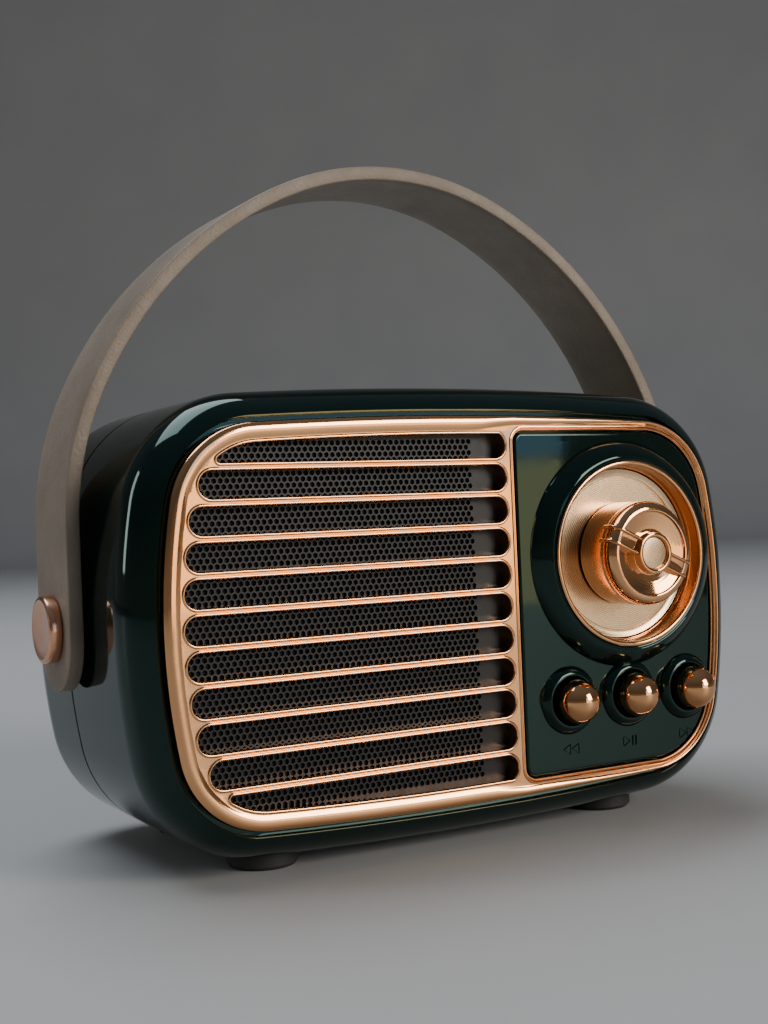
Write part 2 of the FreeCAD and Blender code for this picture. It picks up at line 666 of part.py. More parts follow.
def front_shell():
    """The front half of the case, with the baffle and the bosses behind it."""
    body = new_body("front_blank")
    pad(body, [("outline", Size(0.0))], Size(0.0), S.seam_depth)
    dress("Fillet", body, flat_edges(0.0), S.front_roll)
    dress("Chamfer", body, flat_edges(S.seam_depth), S.seam_bevel)
    pocket(body, [("outline", -S.case_wall)], baffle_back, S.seam_depth)
    pocket(body, [("outline", S.bezel_gap - S.bezel_margin)], Size(0.0), S.bezel_thick)
    left = S.bezel_margin + S.grille_inset - S.mesh_border - half_width
    top = S.slot_pitch * (SLOT_COUNT / 2)
    pocket(body, [rectangle(left, S.grille_right + S.mesh_border + S.lip_play, -top, top)],
           S.bezel_thick, cloth_back)
    pocket(body, [("circle", S.driver_x, Size(0.0), S.driver_opening)], cloth_back, baffle_back)
    holes = [("circle", S.dial_x, S.dial_y, S.bushing_radius + S.key_play)]
    holes += [("circle", x, -S.key_drop, S.key_neck + 2 * S.key_play) for x in key_places]
    pocket(body, holes, S.bezel_thick, baffle_back)
    bosses = [("circle", x, y, S.boss_radius) for x, y in boss_places()]
    pad(body, bosses, baffle_back, S.seam_depth - S.lip_length)
    pads = [("circle", x, y, S.small_boss) for x, y in key_board_screw_places()]
    pad(body, pads, baffle_back, S.key_board_depth)
    place(body)
    side = cylinder("strap_boss_right", S.strap_boss, half_width - S.case_wall - S.strap_screw_length,
                    half_width - S.case_wall / 2)
    far_side = cylinder("strap_boss_left", S.strap_boss, S.case_wall / 2 - half_width,
                        S.strap_screw_length + S.case_wall - half_width)
    joined = fused("front_shell_joined", [body, side, far_side])
    tools = [cylinder("strap_hole_right", S.insert_radius + S.hole_play,
                      half_width - 2 * S.case_wall - S.strap_screw_length, half_width + OPEN_END),
             cylinder("strap_hole_left", S.insert_radius + S.hole_play, -half_width - OPEN_END,
                      S.strap_screw_length + 2 * S.case_wall - half_width)]
    tools += [screw_hole("case_pilot", S.screw_shank + S.hole_play, x, y,
                         S.seam_depth - S.lip_length - S.screw_bite - S.pilot_tip, S.seam_depth)
              for x, y in boss_places()]
    tools += [screw_hole("driver_pilot", S.small_shank + S.hole_play, x, y,
                         baffle_back - S.driver_pilot, baffle_back) for x, y in driver_screw_places()]
    tools += [screw_hole("board_pilot", S.small_shank + S.hole_play, x, y,
                         baffle_back + S.pilot_tip, S.key_board_depth) for x, y in key_board_screw_places()]
    return cut("front_shell", joined, *(tools + foot_cutters("front", S.foot_front)))


def boss_places():
    return [(x, y) for x in (S.boss_x, -S.boss_x) for y in (S.boss_y, -S.boss_y)]


def cylinder(label, radius, left, right):
    """A cylinder along X on the strap's pivot line."""
    feature = doc.addObject("Part::Cylinder", label)
    bind(feature, "Radius", radius)
    bind(feature, "Height", right - left)
    return place(feature, left, S.strap_depth, Size(0.0), SIDEWAYS)


def screw_hole(label, radius, x, y, front, back):
    """A cylinder from one depth back to another."""
    feature = doc.addObject("Part::Cylinder", label)
    bind(feature, "Radius", radius)
    bind(feature, "Height", back - front)
    return place(feature, x, back, y)


def foot_cutters(label, depth):
    """Round seats in the underside of the case."""
    cutters = []
    for side in (-1, 1):
        feature = doc.addObject("Part::Cylinder", "foot_seat_" + label)
        bind(feature, "Radius", S.foot_radius)
        bind(feature, "Height", 3 * S.foot_seat)
        cutters.append(place(feature, side * S.foot_x, depth,
                             foot_seat_height() - 3 * S.foot_seat, Rotation()))
    return cutters


def foot_seat_height():
    """Height of a foot's flat seat, let into the bowed underside."""
    bow = S.top_bow - S.top_bow * math.sqrt(1 - (S.foot_x / S.top_bow) ** 2)
    return S.foot_seat - half_height + bow


def key_board_screw_places():
    return [(S.board_left + S.key_screw_corner, S.board_rise - S.key_screw_corner),
            (S.board_right - S.key_screw_side, S.board_rise - S.key_screw_drop),
            (S.dial_x - S.key_pitch / 2, S.key_screw_rise - S.key_drop)]


def rear_shell():
    """The back half of the case, with its lip, wells for the screws and socket openings."""
    body = new_body("rear_blank")
    pad(body, [("outline", Size(0.0))], S.seam_depth, S.case_depth)
    dress("Fillet", body, flat_edges(S.case_depth), S.back_roll)
    dress("Chamfer", body, flat_edges(S.seam_depth), S.seam_bevel)
    place(body)
    cavity = new_body("rear_cavity")
    pad(cavity, [("outline", -S.case_wall)], S.seam_depth - MERGE, inner_back)
    dress("Fillet", cavity, flat_edges(inner_back), S.back_roll - S.case_wall)
    place(cavity)
    hollow = cut("rear_hollow", body, cavity)
    lip = new_body("rear_lip")
    lip_outer = -S.case_wall - S.lip_play
    pad(lip, [("outline", lip_outer), ("outline", lip_outer - S.lip_wall)],
        S.seam_depth - S.lip_length, S.seam_depth + S.lip_length)
    place(lip)
    link = new_body("rear_lip_root")
    pad(link, [("outline", -S.case_wall + S.lip_play), ("outline", lip_outer - S.lip_wall)],
        S.seam_depth + S.lip_length / 2, S.seam_depth + S.lip_length)
    place(link)
    spread = boss_places()
    posts = [screw_hole("rear_post", S.boss_radius, x, y, S.seam_depth - S.lip_length,
                        S.case_depth) for x, y in spread]
    posts += [screw_hole("board_stand", S.small_boss, x, y, main_board_back, inner_back + MERGE / 2)
              for x, y in main_board_screw_places()]
    core = new_body("rear_core")
    pad(core, [("outline", lip_outer)], S.seam_depth - S.lip_length, S.seam_depth + MERGE)
    place(core)
    room = fused("rear_room", [body, core])
    inside = doc.addObject("Part::Common", "rear_posts")
    inside.Base = fused("rear_posts_long", posts)
    inside.Tool = room
    solid = fused("rear_shell_joined", [hollow, lip, link, inside])
    tools = [screw_hole("rear_well", S.screw_well, x, y, screw_seat(), S.case_depth + MERGE)
             for x, y in spread]
    tools += [screw_hole("rear_way", S.screw_shank + S.hole_play, x, y,
                         S.seam_depth - 2 * S.lip_length, S.case_depth) for x, y in spread]
    tools += [screw_hole("stand_pilot", S.small_shank + S.hole_play, x, y, main_board_back,
                         inner_back - S.pilot_tip) for x, y in main_board_screw_places()]
    tools += socket_cutters()
    notch = 2 * (S.strap_boss + S.notch_play)
    for side in (-1, 1):
        middle = side * (half_width - S.case_wall - S.lip_wall)
        tools.append(box_between("lip_notch", middle - 1.5 * MERGE, middle + 1.5 * MERGE,
                                 S.seam_depth - 2 * S.lip_length, S.seam_depth,
                                 -notch / 2, notch / 2))
    return cut("rear_shell", solid, *(tools + foot_cutters("back", S.foot_back)))


def screw_seat():
    """Depth of the seat that a case screw's head rests on."""
    return S.seam_depth + 2 * S.lip_length


def main_board_screw_places():
    inset = S.main_screw_inset
    left, right, rise = S.main_board_left, S.main_board_right, S.main_board_rise
    return [(left + inset, rise - inset), (right - inset, rise - inset), (right - inset, inset - rise)]


def socket_cutters():
    """Openings in the back wall for the sockets and the charge lamp."""
    play = S.port_play
    back = S.case_depth + MERGE
    jack = screw_hole("jack_way", S.jack_radius + play, S.jack_x, -S.port_drop, inner_back - MERGE,
                      back)
    lamp = screw_hole("lamp_way", S.lamp_radius + play, S.usb_x, S.lamp_y, inner_back - MERGE, back)
    ways = []
    for label, x, width, height in (("usb_way", S.usb_x, S.usb_width, S.usb_height),
                                    ("card_way", S.card_x, S.card_width, S.card_height)):
        ways.append(box_between(label, x - width / 2 - play, x + width / 2 + play,
                                inner_back - MERGE, back, -S.port_drop - height / 2 - play,
                                height / 2 + play - S.port_drop))
    return [jack, lamp] + ways


def feet():
    """Four rubber feet in one node."""
    feet_list = []
    height = foot_seat_height() + half_height + S.foot_rise
    for side in (-1, 1):
        for depth in (S.foot_front, S.foot_back):
            foot = turned("foot", [(Size(0.0), Size(0.0)), (S.foot_radius - S.foot_bevel, Size(0.0)),
                                   (S.foot_radius - S.foot_play, S.foot_bevel),
                                   (S.foot_radius - S.foot_play, height), (Size(0.0), height)])
            feet_list.append(place(foot, side * S.foot_x, depth, -middle_z, Rotation()))
    return group("rubber_feet", feet_list)


# ---------------------------------------------------------------- bezel, mesh and panel


def slot_faces():
    """The grille's slots: full-round ends, following the bezel outline on the left."""
    inside = outline_face(-float(S.bezel_margin + S.grille_inset))
    faces = []
    height = float(S.slot_pitch - S.bar_height)
    last = SLOT_COUNT // 2
    for number in range(-last, last + 1):
        middle = number * float(S.slot_pitch)
        band = block_face(-float(half_width), float(S.grille_right), middle - height / 2,
                          middle + height / 2)
        outermost = abs(number) == last
        radius = height * (TAPERED_END if outermost else ROUND_END)
        faces.append(rounded(band.common(inside).Faces[0], radius))
    return faces


def panel_opening(shrink):
    """The opening for the control panel, made smaller all round by shrink."""
    inside = outline_face(-float(S.bezel_margin + S.panel_inset))
    band = block_face(float(S.panel_left), float(half_width), -float(S.panel_rise),
                      float(S.panel_rise))
    opening = rounded(band.common(inside).Faces[0], float(S.panel_corner))
    return opening.makeOffset2D(-float(shrink)) if shrink else opening


def grille_bezel():
    """The plated plate with eleven slots and the opening for the control panel."""
    body = new_body("bezel_plate")
    pad(body, [("outline", -S.bezel_margin)], Size(0.0), S.bezel_thick)
    dress("Fillet", body, flat_edges(0.0), S.bezel_round)
    place(body)
    ways = [thickened(face, Size(-MERGE), S.bezel_thick + MERGE)
            for face in slot_faces() + [panel_opening(0.0)]]
    cutters = shape_node("bezel_ways", Part.makeCompound(ways))
    return cut("grille_bezel", body, cutters)


def mesh_face():
    left = float(S.bezel_margin + S.grille_inset - half_width) - float(S.mesh_border)
    top = float(S.slot_pitch) * SLOT_COUNT / 2
    play = float(S.lip_play)
    sheet_face = block_face(left + play, float(S.grille_right + S.mesh_border), play - top,
                            top - play)
    inside = outline_face(-float(S.bezel_margin + S.mesh_inset))
    return sheet_face.common(inside).Faces[0]


def control_panel():
    """The gloss panel with the dial's collar, the key sockets and the key symbols."""
    plate = thickened(panel_opening(S.panel_gap), S.panel_sink, S.bezel_thick)
    rim = [edge for edge in plate.Edges if flat_edges(S.panel_sink)(edge)]
    plate = plate.makeFillet(float(S.panel_round), rim)
    middle = Vector(float(S.dial_x), float(S.dial_y), 0)
    sink = -float(S.panel_sink)
    rise = float(S.collar_rise)
    outer = float(S.collar_outer)
    lip = float(S.ring_outer + S.collar_lip)
    land = float(S.ring_outer - S.collar_land)
    under = sink - float(S.panel_sink)
    start = Vector(outer, 0, under)
    foot = Vector(outer, 0, sink)
    shoulder = Vector(lip, 0, rise)
    across = Vector(outer - (outer - lip) * BULGE_REACH, 0, (sink + rise) * BULGE_RISE)
    inner_top = Vector(land, 0, rise)
    inner_low = Vector(land, 0, under)
    edges = [Part.LineSegment(start, foot).toShape(),
             Part.Arc(foot, across, shoulder).toShape(),
             Part.LineSegment(shoulder, inner_top).toShape(),
             Part.LineSegment(inner_top, inner_low).toShape(),
             Part.LineSegment(inner_low, start).toShape()]
    collar = Part.Face(Part.Wire(edges)).revolve(Vector(0, 0, 0), Vector(0, 0, 1), 360)
    collar.translate(middle)
    raised = [collar]
    for x in key_places:
        spot = Vector(float(x), -float(S.key_drop), under)
        raised.append(Part.makeCone(float(S.socket_outer), float(S.socket_top),
                                    float(S.socket_rise) - under + sink, spot))
    within = thickened(panel_opening(S.panel_gap), -S.knob_reach, S.bezel_thick)
    panel = plate
    for piece in raised:
        panel = panel.fuse(piece.common(within))
    for x in key_places:
        hole = Vector(float(x), -float(S.key_drop), -float(S.bezel_thick) - MERGE)
        panel = panel.cut(Part.makeCylinder(float(S.key_neck + 2 * S.key_play), OPEN_END, hole))
        ball = Vector(float(x), -float(S.key_drop), float(S.key_reach - S.key_ball))
        panel = panel.cut(Part.makeSphere(float(S.key_ball + S.key_travel + S.key_play), ball))
    recess = middle + Vector(0, 0, -float(dial_back))
    panel = panel.cut(Part.makeCylinder(float(S.ring_outer + S.dial_play), OPEN_END, recess))
    way = middle + Vector(0, 0, -OPEN_END / 2)
    panel = panel.cut(Part.makeCylinder(float(S.bushing_radius + S.key_play), OPEN_END, way))
    for face in symbol_faces():
        panel = panel.cut(thickened(face, S.panel_sink - MERGE, S.panel_sink + S.icon_depth))
    return shape_node("control_panel", panel)


def symbol_faces():
    """Rewind, play and forward marks: plain triangles and bars."""
    tall = float(S.icon_size)
    wide = tall * SYMBOL_STEP
    apart = wide / 10

    def triangle(left, tip, low):
        corners = [Vector(left, low, 0), Vector(tip, low + tall / 2, 0), Vector(left, low + tall, 0)]
        return Part.Face(Part.makePolygon(corners + corners[:1]))

    low = -float(S.icon_drop) - tall / 2
    back, play, ahead = (float(x) for x in key_places)
    faces = [triangle(back, back - wide, low), triangle(back + apart + wide, back + apart, low)]
    faces += [triangle(ahead, ahead + wide, low), triangle(ahead - apart - wide, ahead - apart, low)]
    faces.append(triangle(play - wide, play, low))
    for step in (0.35, 0.85):
        left = play + wide * step
        faces.append(block_face(left, left + 0.25 * wide, low, low + tall))
    return faces


# ---------------------------------------------------------------- dial, knob and keys


def at_dial(feature):
    return place(feature, S.dial_x, Size(0.0), S.dial_y)


def dial():
    ring = turned("dial_ring", ring_profile(S.ring_inner, S.ring_outer, -S.ring_reach, dial_back))
    reach = float(S.ring_reach)
    dress("Fillet", ring, lambda edge: edge.BoundBox.ZMin > reach - 1e-4, S.ring_round)
    plate = turned("dial_plate", ring_profile(S.shaft_radius + 4 * S.dial_play,
                                              S.ring_inner - S.dial_play, S.dial_sink, dial_back))
    return [at_dial(ring), at_dial(plate)]


def knob():
    """The knob with its pointer ridges and centre disc, and the shaft that it is pressed on."""
    back = S.dial_sink - S.knob_play
    face = S.knob_reach - S.hub_rise
    bore = S.knob_bore_depth - back
    knob_body = turned("volume_knob", [
        (Size(0.0), bore), (S.shaft_radius + S.shaft_fit, bore),
        (S.shaft_radius + S.shaft_fit, -back),
        (S.knob_radius, -back), (S.knob_radius, face - S.knob_bevel),
        (S.knob_radius - S.knob_bevel, face), (S.hub_outer, face),
        (S.hub_outer, S.knob_reach), (S.hub_inner + S.dial_play, S.knob_reach),
        (S.hub_inner + S.dial_play, face - S.disc_depth), (Size(0.0), face - S.disc_depth)])
    disc = turned("knob_centre_disc", ring_profile(
        Size(0.0), S.hub_inner, -face - S.disc_rise, S.disc_depth - face))
    shaft = turned("volume_shaft", ring_profile(
        Size(0.0), S.shaft_radius, S.dial_play - bore, baffle_back + S.shaft_end))
    ridges = [pointer_ridge(side, face) for side in (-1, 1)]
    return [at_dial(knob_body), at_dial(disc), at_dial(shaft), group("knob_pointer", ridges)]


def pointer_ridge(side, face):
    """One ridge: a bar across the face, with the hub's circle taken out of it."""
    reach = float(S.knob_radius - S.knob_bevel)
    half = math.sqrt(reach**2 - float(S.pointer_gap) ** 2) - float(S.pointer_end)
    middle = side * float(S.pointer_gap + S.pointer_width) / 2
    low = middle - float(S.pointer_width) / 2
    bar = Part.makeBox(2 * half, float(S.pointer_width), float(S.pointer_rise),
                       Vector(-half, low, float(face)))
    bar.rotate(Vector(0, 0, 0), Vector(0, 0, 1), float(S.pointer_angle))
    clear = Part.makeCylinder(float(S.hub_outer + S.dial_play), OPEN_END, Vector(0, 0, 0))
    return shape_node("pointer_ridge", bar.cut(clear), S.dial_x, Size(0.0), S.dial_y)


def volume_control():
    """The square rotary control on the key board, with its bushing through the baffle."""
    front = S.key_board_depth - S.pot_height
    body = new_body("volume_control")
    half = S.pot_width / 2
    pad(body, [rectangle(-half, half, -half, half)], front, S.key_board_depth)
    pad(body, [("circle", Size(0.0), Size(0.0), S.bushing_radius)], dial_back + S.bushing_gap, front)
    pocket(body, [("circle", Size(0.0), Size(0.0), S.shaft_radius + S.shaft_play)],
           dial_back + S.bushing_gap, baffle_back + S.pot_bore)
    return at_dial(body)


def key(name, x):
    """One key: a ball on a neck, a retaining flange and the stem behind it."""
    centre = S.key_reach - S.key_ball
    flange_back = baffle_back + S.key_rest_gap + S.key_flange_thick
    stem = turned(name + "_key_stem", [
        (Size(0.0), centre), (S.key_neck, centre), (S.key_neck, -baffle_back - S.key_rest_gap),
        (S.key_flange, -baffle_back - S.key_rest_gap), (S.key_flange, -flange_back),
        (S.key_stem, -flange_back), (S.key_stem, -plunger_front), (Size(0.0), -plunger_front)])
    place(stem, x, Size(0.0), -S.key_drop)
    ball = doc.addObject("Part::Sphere", name + "_key_ball")
    bind(ball, "Radius", S.key_ball)
    place(ball, x, -centre, -S.key_drop)
    joined = fused(name + "_key", [stem, ball])
    plunger = turned(name + "_switch_plunger", ring_profile(
        Size(0.0), S.plunger_radius, plunger_front, S.key_board_depth - S.plunger_depth))
    return [joined, place(plunger, x, Size(0.0), -S.key_drop)]


def switch_bodies():
    """Three key switches in one node, each open for its plunger."""
    half = S.switch_width / 2
    switches = []
    for x in key_places:
        body = new_body("switch_body")
        pad(body, [rectangle(-half, half, -half, half)], switch_front, S.key_board_depth)
        pocket(body, [("circle", Size(0.0), Size(0.0), S.plunger_radius + S.key_play)],
               switch_front, S.key_board_depth - S.switch_floor)
        switches.append(place(body, x, Size(0.0), -S.key_drop))
    return group("key_switches", switches)


def small_screws(label, places, front, seat, length):
    """Small pan-head screws. Each head rests on seat, and the shank goes forward."""
    screws = []
    for x, y in places:
        screw = turned(label + "_one", [
            (Size(0.0), -seat - S.small_head_rise), (S.small_head, -seat - S.small_head_rise),
            (S.small_head, -seat), (S.small_shank, -seat), (S.small_shank, length - seat),
            (Size(0.0), length - seat)])
        screws.append(place(screw, x, front, y))
    return group(label, screws)


def boards():
    """The key board and the main board, with their screws."""
    key_board = new_body("key_board")
    pad(key_board, [rectangle(S.board_left, S.board_right, -S.board_rise, S.board_rise)],
        S.key_board_depth, S.key_board_depth + S.board_thick)
    ways = [("circle", x, y, S.small_shank + S.hole_play) for x, y in key_board_screw_places()]
    pocket(key_board, ways, S.key_board_depth, S.key_board_depth + S.board_thick)
    main_board = new_body("main_board")
    pad(main_board, [rectangle(S.main_board_left, S.main_board_right, -S.main_board_rise,
                               S.main_board_rise)], S.main_board_depth, main_board_back)
    ways = [("circle", x, y, S.small_shank + S.hole_play) for x, y in main_board_screw_places()]
    pocket(main_board, ways, S.main_board_depth, main_board_back)
    nodes = [place(key_board), place(main_board)]
    nodes.append(small_screws("key_board_screws", key_board_screw_places(), Size(0.0),
                              S.key_board_depth + S.board_thick, S.key_screw_length))
    nodes.append(board_screws())
    return nodes


def board_screws():
    """Screws through the main board, driven from the front into the rear shell's stands."""
    screws = []
    for x, y in main_board_screw_places():
        screw = turned("main_board_screw", [
            (Size(0.0), S.small_head_rise), (S.small_head, S.small_head_rise),
            (S.small_head, Size(0.0)), (S.small_shank, Size(0.0)), (S.small_shank, -S.main_screw_length),
            (Size(0.0), -S.main_screw_length)])
        screws.append(place(screw, x, S.main_board_depth, y))
    return group("main_board_screws", screws)


# ---------------------------------------------------------------- loudspeaker


def at_driver(feature):
    return place(feature, S.driver_x)


def driver_screw_places():
    reach = S.driver_screws * math.sqrt(0.5)
    return [(S.driver_x + sx * reach, sy * reach) for sx in (-1, 1) for sy in (-1, 1)]


def loudspeaker():
    """A 40 mm loudspeaker: fixed basket and magnet, and a cone that moves along the depth."""
    lip = S.surround_outer
    flange_back = flange_front + S.basket_thick
    wall = S.basket_thick
    basket = turned("basket_turned", [
        (lip, -flange_front), (S.driver_flange, -flange_front), (S.driver_flange, -flange_back),
        (lip + wall, -flange_back), (S.magnet_radius + wall, -basket_back),
        (gap_outer, -basket_back), (gap_outer, wall - basket_back),
        (S.magnet_radius, wall - basket_back)])
    holes = [screw_hole("basket_way", S.small_shank + S.hole_play, x, y, flange_front - MERGE,
                        flange_back + MERGE) for x, y in driver_screw_places()]
    nodes = [cut("driver_basket", at_driver(basket), *holes)]
    gasket = turned("gasket_turned", ring_profile(lip + S.surround_lip + S.cone_air,
                                                  S.driver_flange, baffle_back, flange_front))
    ways = [screw_hole("gasket_way", S.small_shank + S.hole_play, x, y, baffle_back - MERGE,
                       flange_front + MERGE) for x, y in driver_screw_places()]
    nodes.append(cut("driver_gasket", at_driver(gasket), *ways))
    rings = (("driver_top_plate", gap_outer, S.magnet_radius, basket_back, magnet_front),
             ("driver_magnet", gap_outer + S.magnet_setback, S.magnet_radius, magnet_front, magnet_back),
             ("driver_spider", coil_outer + S.spider_play, S.magnet_radius - wall,
              basket_back - wall - S.spider_gap - S.spider_thick, basket_back - wall - S.spider_gap))
    for label, inner, outer, front, back in rings:
        nodes.append(at_driver(turned(label, ring_profile(inner, outer, front, back))))
    yoke = turned("driver_yoke", [
        (Size(0.0), -basket_back), (S.pole_radius, -basket_back), (S.pole_radius, -magnet_back),
        (S.magnet_radius, -magnet_back), (S.magnet_radius, -driver_back),
        (Size(0.0), -driver_back)])
    nodes.append(at_driver(yoke))
    nodes.append(small_screws("driver_screws", driver_screw_places(), Size(0.0), flange_back,
                              S.driver_screw_length))
    return nodes + moving_driver() + [surround(lip)]


def moving_driver():
    """The cone, dust cap and voice coil, which move together."""
    front = flange_front + S.cone_sink
    back = front + S.cone_depth
    thick = S.cone_wall
    cone = turned("speaker_cone", [
        (S.cone_radius, -front), (S.cone_radius, -front - thick), (coil_outer, -back - thick),
        (S.coil_radius, -back - thick), (S.coil_radius, -back)])
    coil = turned("voice_coil", ring_profile(S.coil_radius, coil_outer, back + thick,
                                             magnet_front + S.coil_sink))
    dome = (S.coil_radius**2 + S.cap_rise**2) / (2 * float(S.cap_rise))
    level = -float(back)
    ball = Part.makeSphere(dome, Vector(0, 0, level + float(S.cap_rise) - dome))
    keep = Part.makeCylinder(float(S.coil_radius), float(S.cap_rise), Vector(0, 0, level))
    return [at_driver(cone), at_driver(coil),
            shape_node("dust_cap", ball.common(keep), S.driver_x)]


def surround(lip):
    """The half-roll surround between the cone's edge and the basket."""
    inner = float(S.cone_radius + S.cone_air)
    roll = float(S.surround_roll)
    wall = float(S.surround_wall)
    level = -float(flange_front)
    outer = float(lip + S.surround_lip)
    centre = inner + roll
    corners = [(inner + 2 * roll, level), (outer, level), (outer, level + wall),
               (inner + 2 * roll + wall / 2, level + wall)]
    edges = [Part.LineSegment(Vector(a[0], 0, a[1]), Vector(b[0], 0, b[1])).toShape()
             for a, b in zip(corners, corners[1:])]
    top = Vector(centre, 0, level + roll + wall)
    start = Vector(inner, 0, level + wall)
    edges.append(Part.Arc(Vector(corners[-1][0], 0, corners[-1][1]), top, start).toShape())
    edges.append(Part.LineSegment(start, Vector(inner, 0, level)).toShape())
    edges.append(Part.Arc(Vector(inner, 0, level), Vector(centre, 0, level + roll),
                          Vector(inner + 2 * roll, 0, level)).toShape())
    ring = Part.Face(Part.Wire(Part.__sortEdges__(edges)))
    solid = ring.revolve(Vector(0, 0, 0), Vector(0, 0, 1), 360)
    return shape_node("cone_surround", solid, S.driver_x)


# ---------------------------------------------------------------- electronics


def sockets():
    """The rear sockets, each standing on the main board and reaching the back wall."""
    reach = S.case_depth - S.port_sink
    jack = new_body("audio_socket")
    pad(jack, [("circle", Size(0.0), Size(0.0), S.jack_radius)], main_board_back, reach)
    pocket(jack, [("circle", Size(0.0), Size(0.0), S.jack_bore)], main_board_back + S.jack_floor, reach)
    usb = new_body("charge_socket")
    wide, tall = S.usb_width / 2, S.usb_height / 2
    pad(usb, [rectangle(-wide, wide, -tall, tall)], main_board_back, reach)
    dress("Fillet", usb, lambda edge: edge.BoundBox.ZLength > 3.0, S.usb_height / 2 - S.lip_play)
    pocket(usb, [rectangle(S.usb_wall_side - wide, wide - S.usb_wall_side, S.usb_wall - tall,
                           tall - S.usb_wall)],
           main_board_back + S.usb_floor, reach)
    side = wide - S.usb_tongue_inset
    pad(usb, [rectangle(-side, side, -S.usb_tongue / 2, S.usb_tongue / 2)],
        main_board_back + S.usb_floor / 2, reach - S.usb_tongue_sink)
    card = new_body("card_socket")
    wide, tall = S.card_width / 2, S.card_height / 2
    pad(card, [rectangle(-wide, wide, -tall, tall)], main_board_back, reach)
    pocket(card, [rectangle(S.card_wall - wide, wide - S.card_wall, S.card_wall - tall,
                            tall - S.card_wall)],
           main_board_back + S.card_floor, reach)
    lamp = turned("charge_lamp", ring_profile(Size(0.0), S.lamp_radius, main_board_back,
                                              S.case_depth - S.lamp_sink))
    return [place(jack, S.jack_x, Size(0.0), -S.port_drop),
            place(usb, S.usb_x, Size(0.0), -S.port_drop),
            place(card, S.card_x, Size(0.0), -S.port_drop),
            place(lamp, S.usb_x, Size(0.0), S.lamp_y)]


def components():
    """What stands on the front of the main board."""
    board = S.main_board_depth
    left = S.main_board_left
    low = -S.main_board_rise
    can, chip, plug = left + S.can_inset, left + S.chip_inset, left + S.plug_inset
    half_can, half_chip = S.can_height / 2, S.chip_height / 2
    nodes = [box_between("radio_module_can", can, can + S.can_width, board - S.can_rise, board,
                         S.can_lift - half_can, S.can_lift + half_can),
             box_between("amplifier_chip", chip, chip + S.chip_width, board - S.chip_rise, board,
                         -half_chip, half_chip),
             box_between("lead_connectors", plug, plug + S.plug_width, board - S.plug_rise, board,
                         low + S.plug_lift, low + S.plug_lift + S.plug_height)]
    cans = []
    for step in range(2):
        drum = turned("capacitor", ring_profile(Size(0.0), S.drum_radius, -S.drum_height, Size(0.0)))
        cans.append(place(drum, left + S.drum_inset + S.drum_pitch * step, board,
                          low + S.drum_height))
    nodes.append(group("smoothing_capacitors", cans))
    return nodes


def battery():
    wide, tall = S.battery_width / 2, S.battery_height / 2
    back = inner_back - S.tape_thick
    cell = new_body("battery_cell")
    pad(cell, [rectangle(S.battery_x - wide, S.battery_x + wide, -tall, tall)],
        back - S.battery_thick, back)
    dress("Fillet", cell, lambda edge: edge.BoundBox.ZLength > 3.0, S.battery_round)
    side, rise = wide - S.tape_margin, tall - S.tape_margin
    tape = box_between("battery_tape", S.battery_x - side, S.battery_x + side, back, inner_back,
                       -rise, rise)
    return [place(cell), tape]


END_INSET = 3.0        # from a lead's far end to the edge beside it, and its last straight
SPEAKER_PIN, POWER_PIN = 1.5, 7.0    # from the plug's side to the first lead of each pair
SPEAKER_LOOP, POWER_LOOP = 10.0, 2.5    # how far the leads stand off the plug
TAB_PITCH, TAB_DROP = 2.5, 3.0    # the loudspeaker's tabs: apart, and below its middle
CELL_LIFT = 5.0        # from the battery's lower end to the upper of its two leads


def tube(points, radius):
    """A round lead along straight runs joined by tangent arcs, as large as the runs allow."""
    spots = [Vector(*[float(value) for value in point]) for point in points]
    edges = []
    start = spots[0]
    for before, corner, after in zip(spots, spots[1:], spots[2:]):
        into, out = corner - before, after - corner
        turn = into.getAngle(out)
        trim = 0.45 * min(into.Length, out.Length)
        bend = trim / math.tan(turn / 2)
        into.normalize()
        out.normalize()
        first, last = corner - into * trim, corner + out * trim
        inward = out - into
        inward.normalize()
        middle = corner + inward * (math.hypot(bend, trim) - bend)
        edges.append(Part.LineSegment(start, first).toShape())
        edges.append(Part.Arc(first, middle, last).toShape())
        start = last
        print("lead bend radius %.1f" % bend)
    edges.append(Part.LineSegment(start, spots[-1]).toShape())
    path = Part.Wire(edges)
    along = spots[1] - spots[0]
    profile = Part.Wire(Part.makeCircle(radius, spots[0], along))
    solid = path.makePipeShell([profile], True, True)
    expected = math.pi * radius**2 * path.Length
    if abs(solid.Volume - expected) > 0.01 * expected:
        raise RuntimeError("a lead's volume is not its section times its length")
    return solid


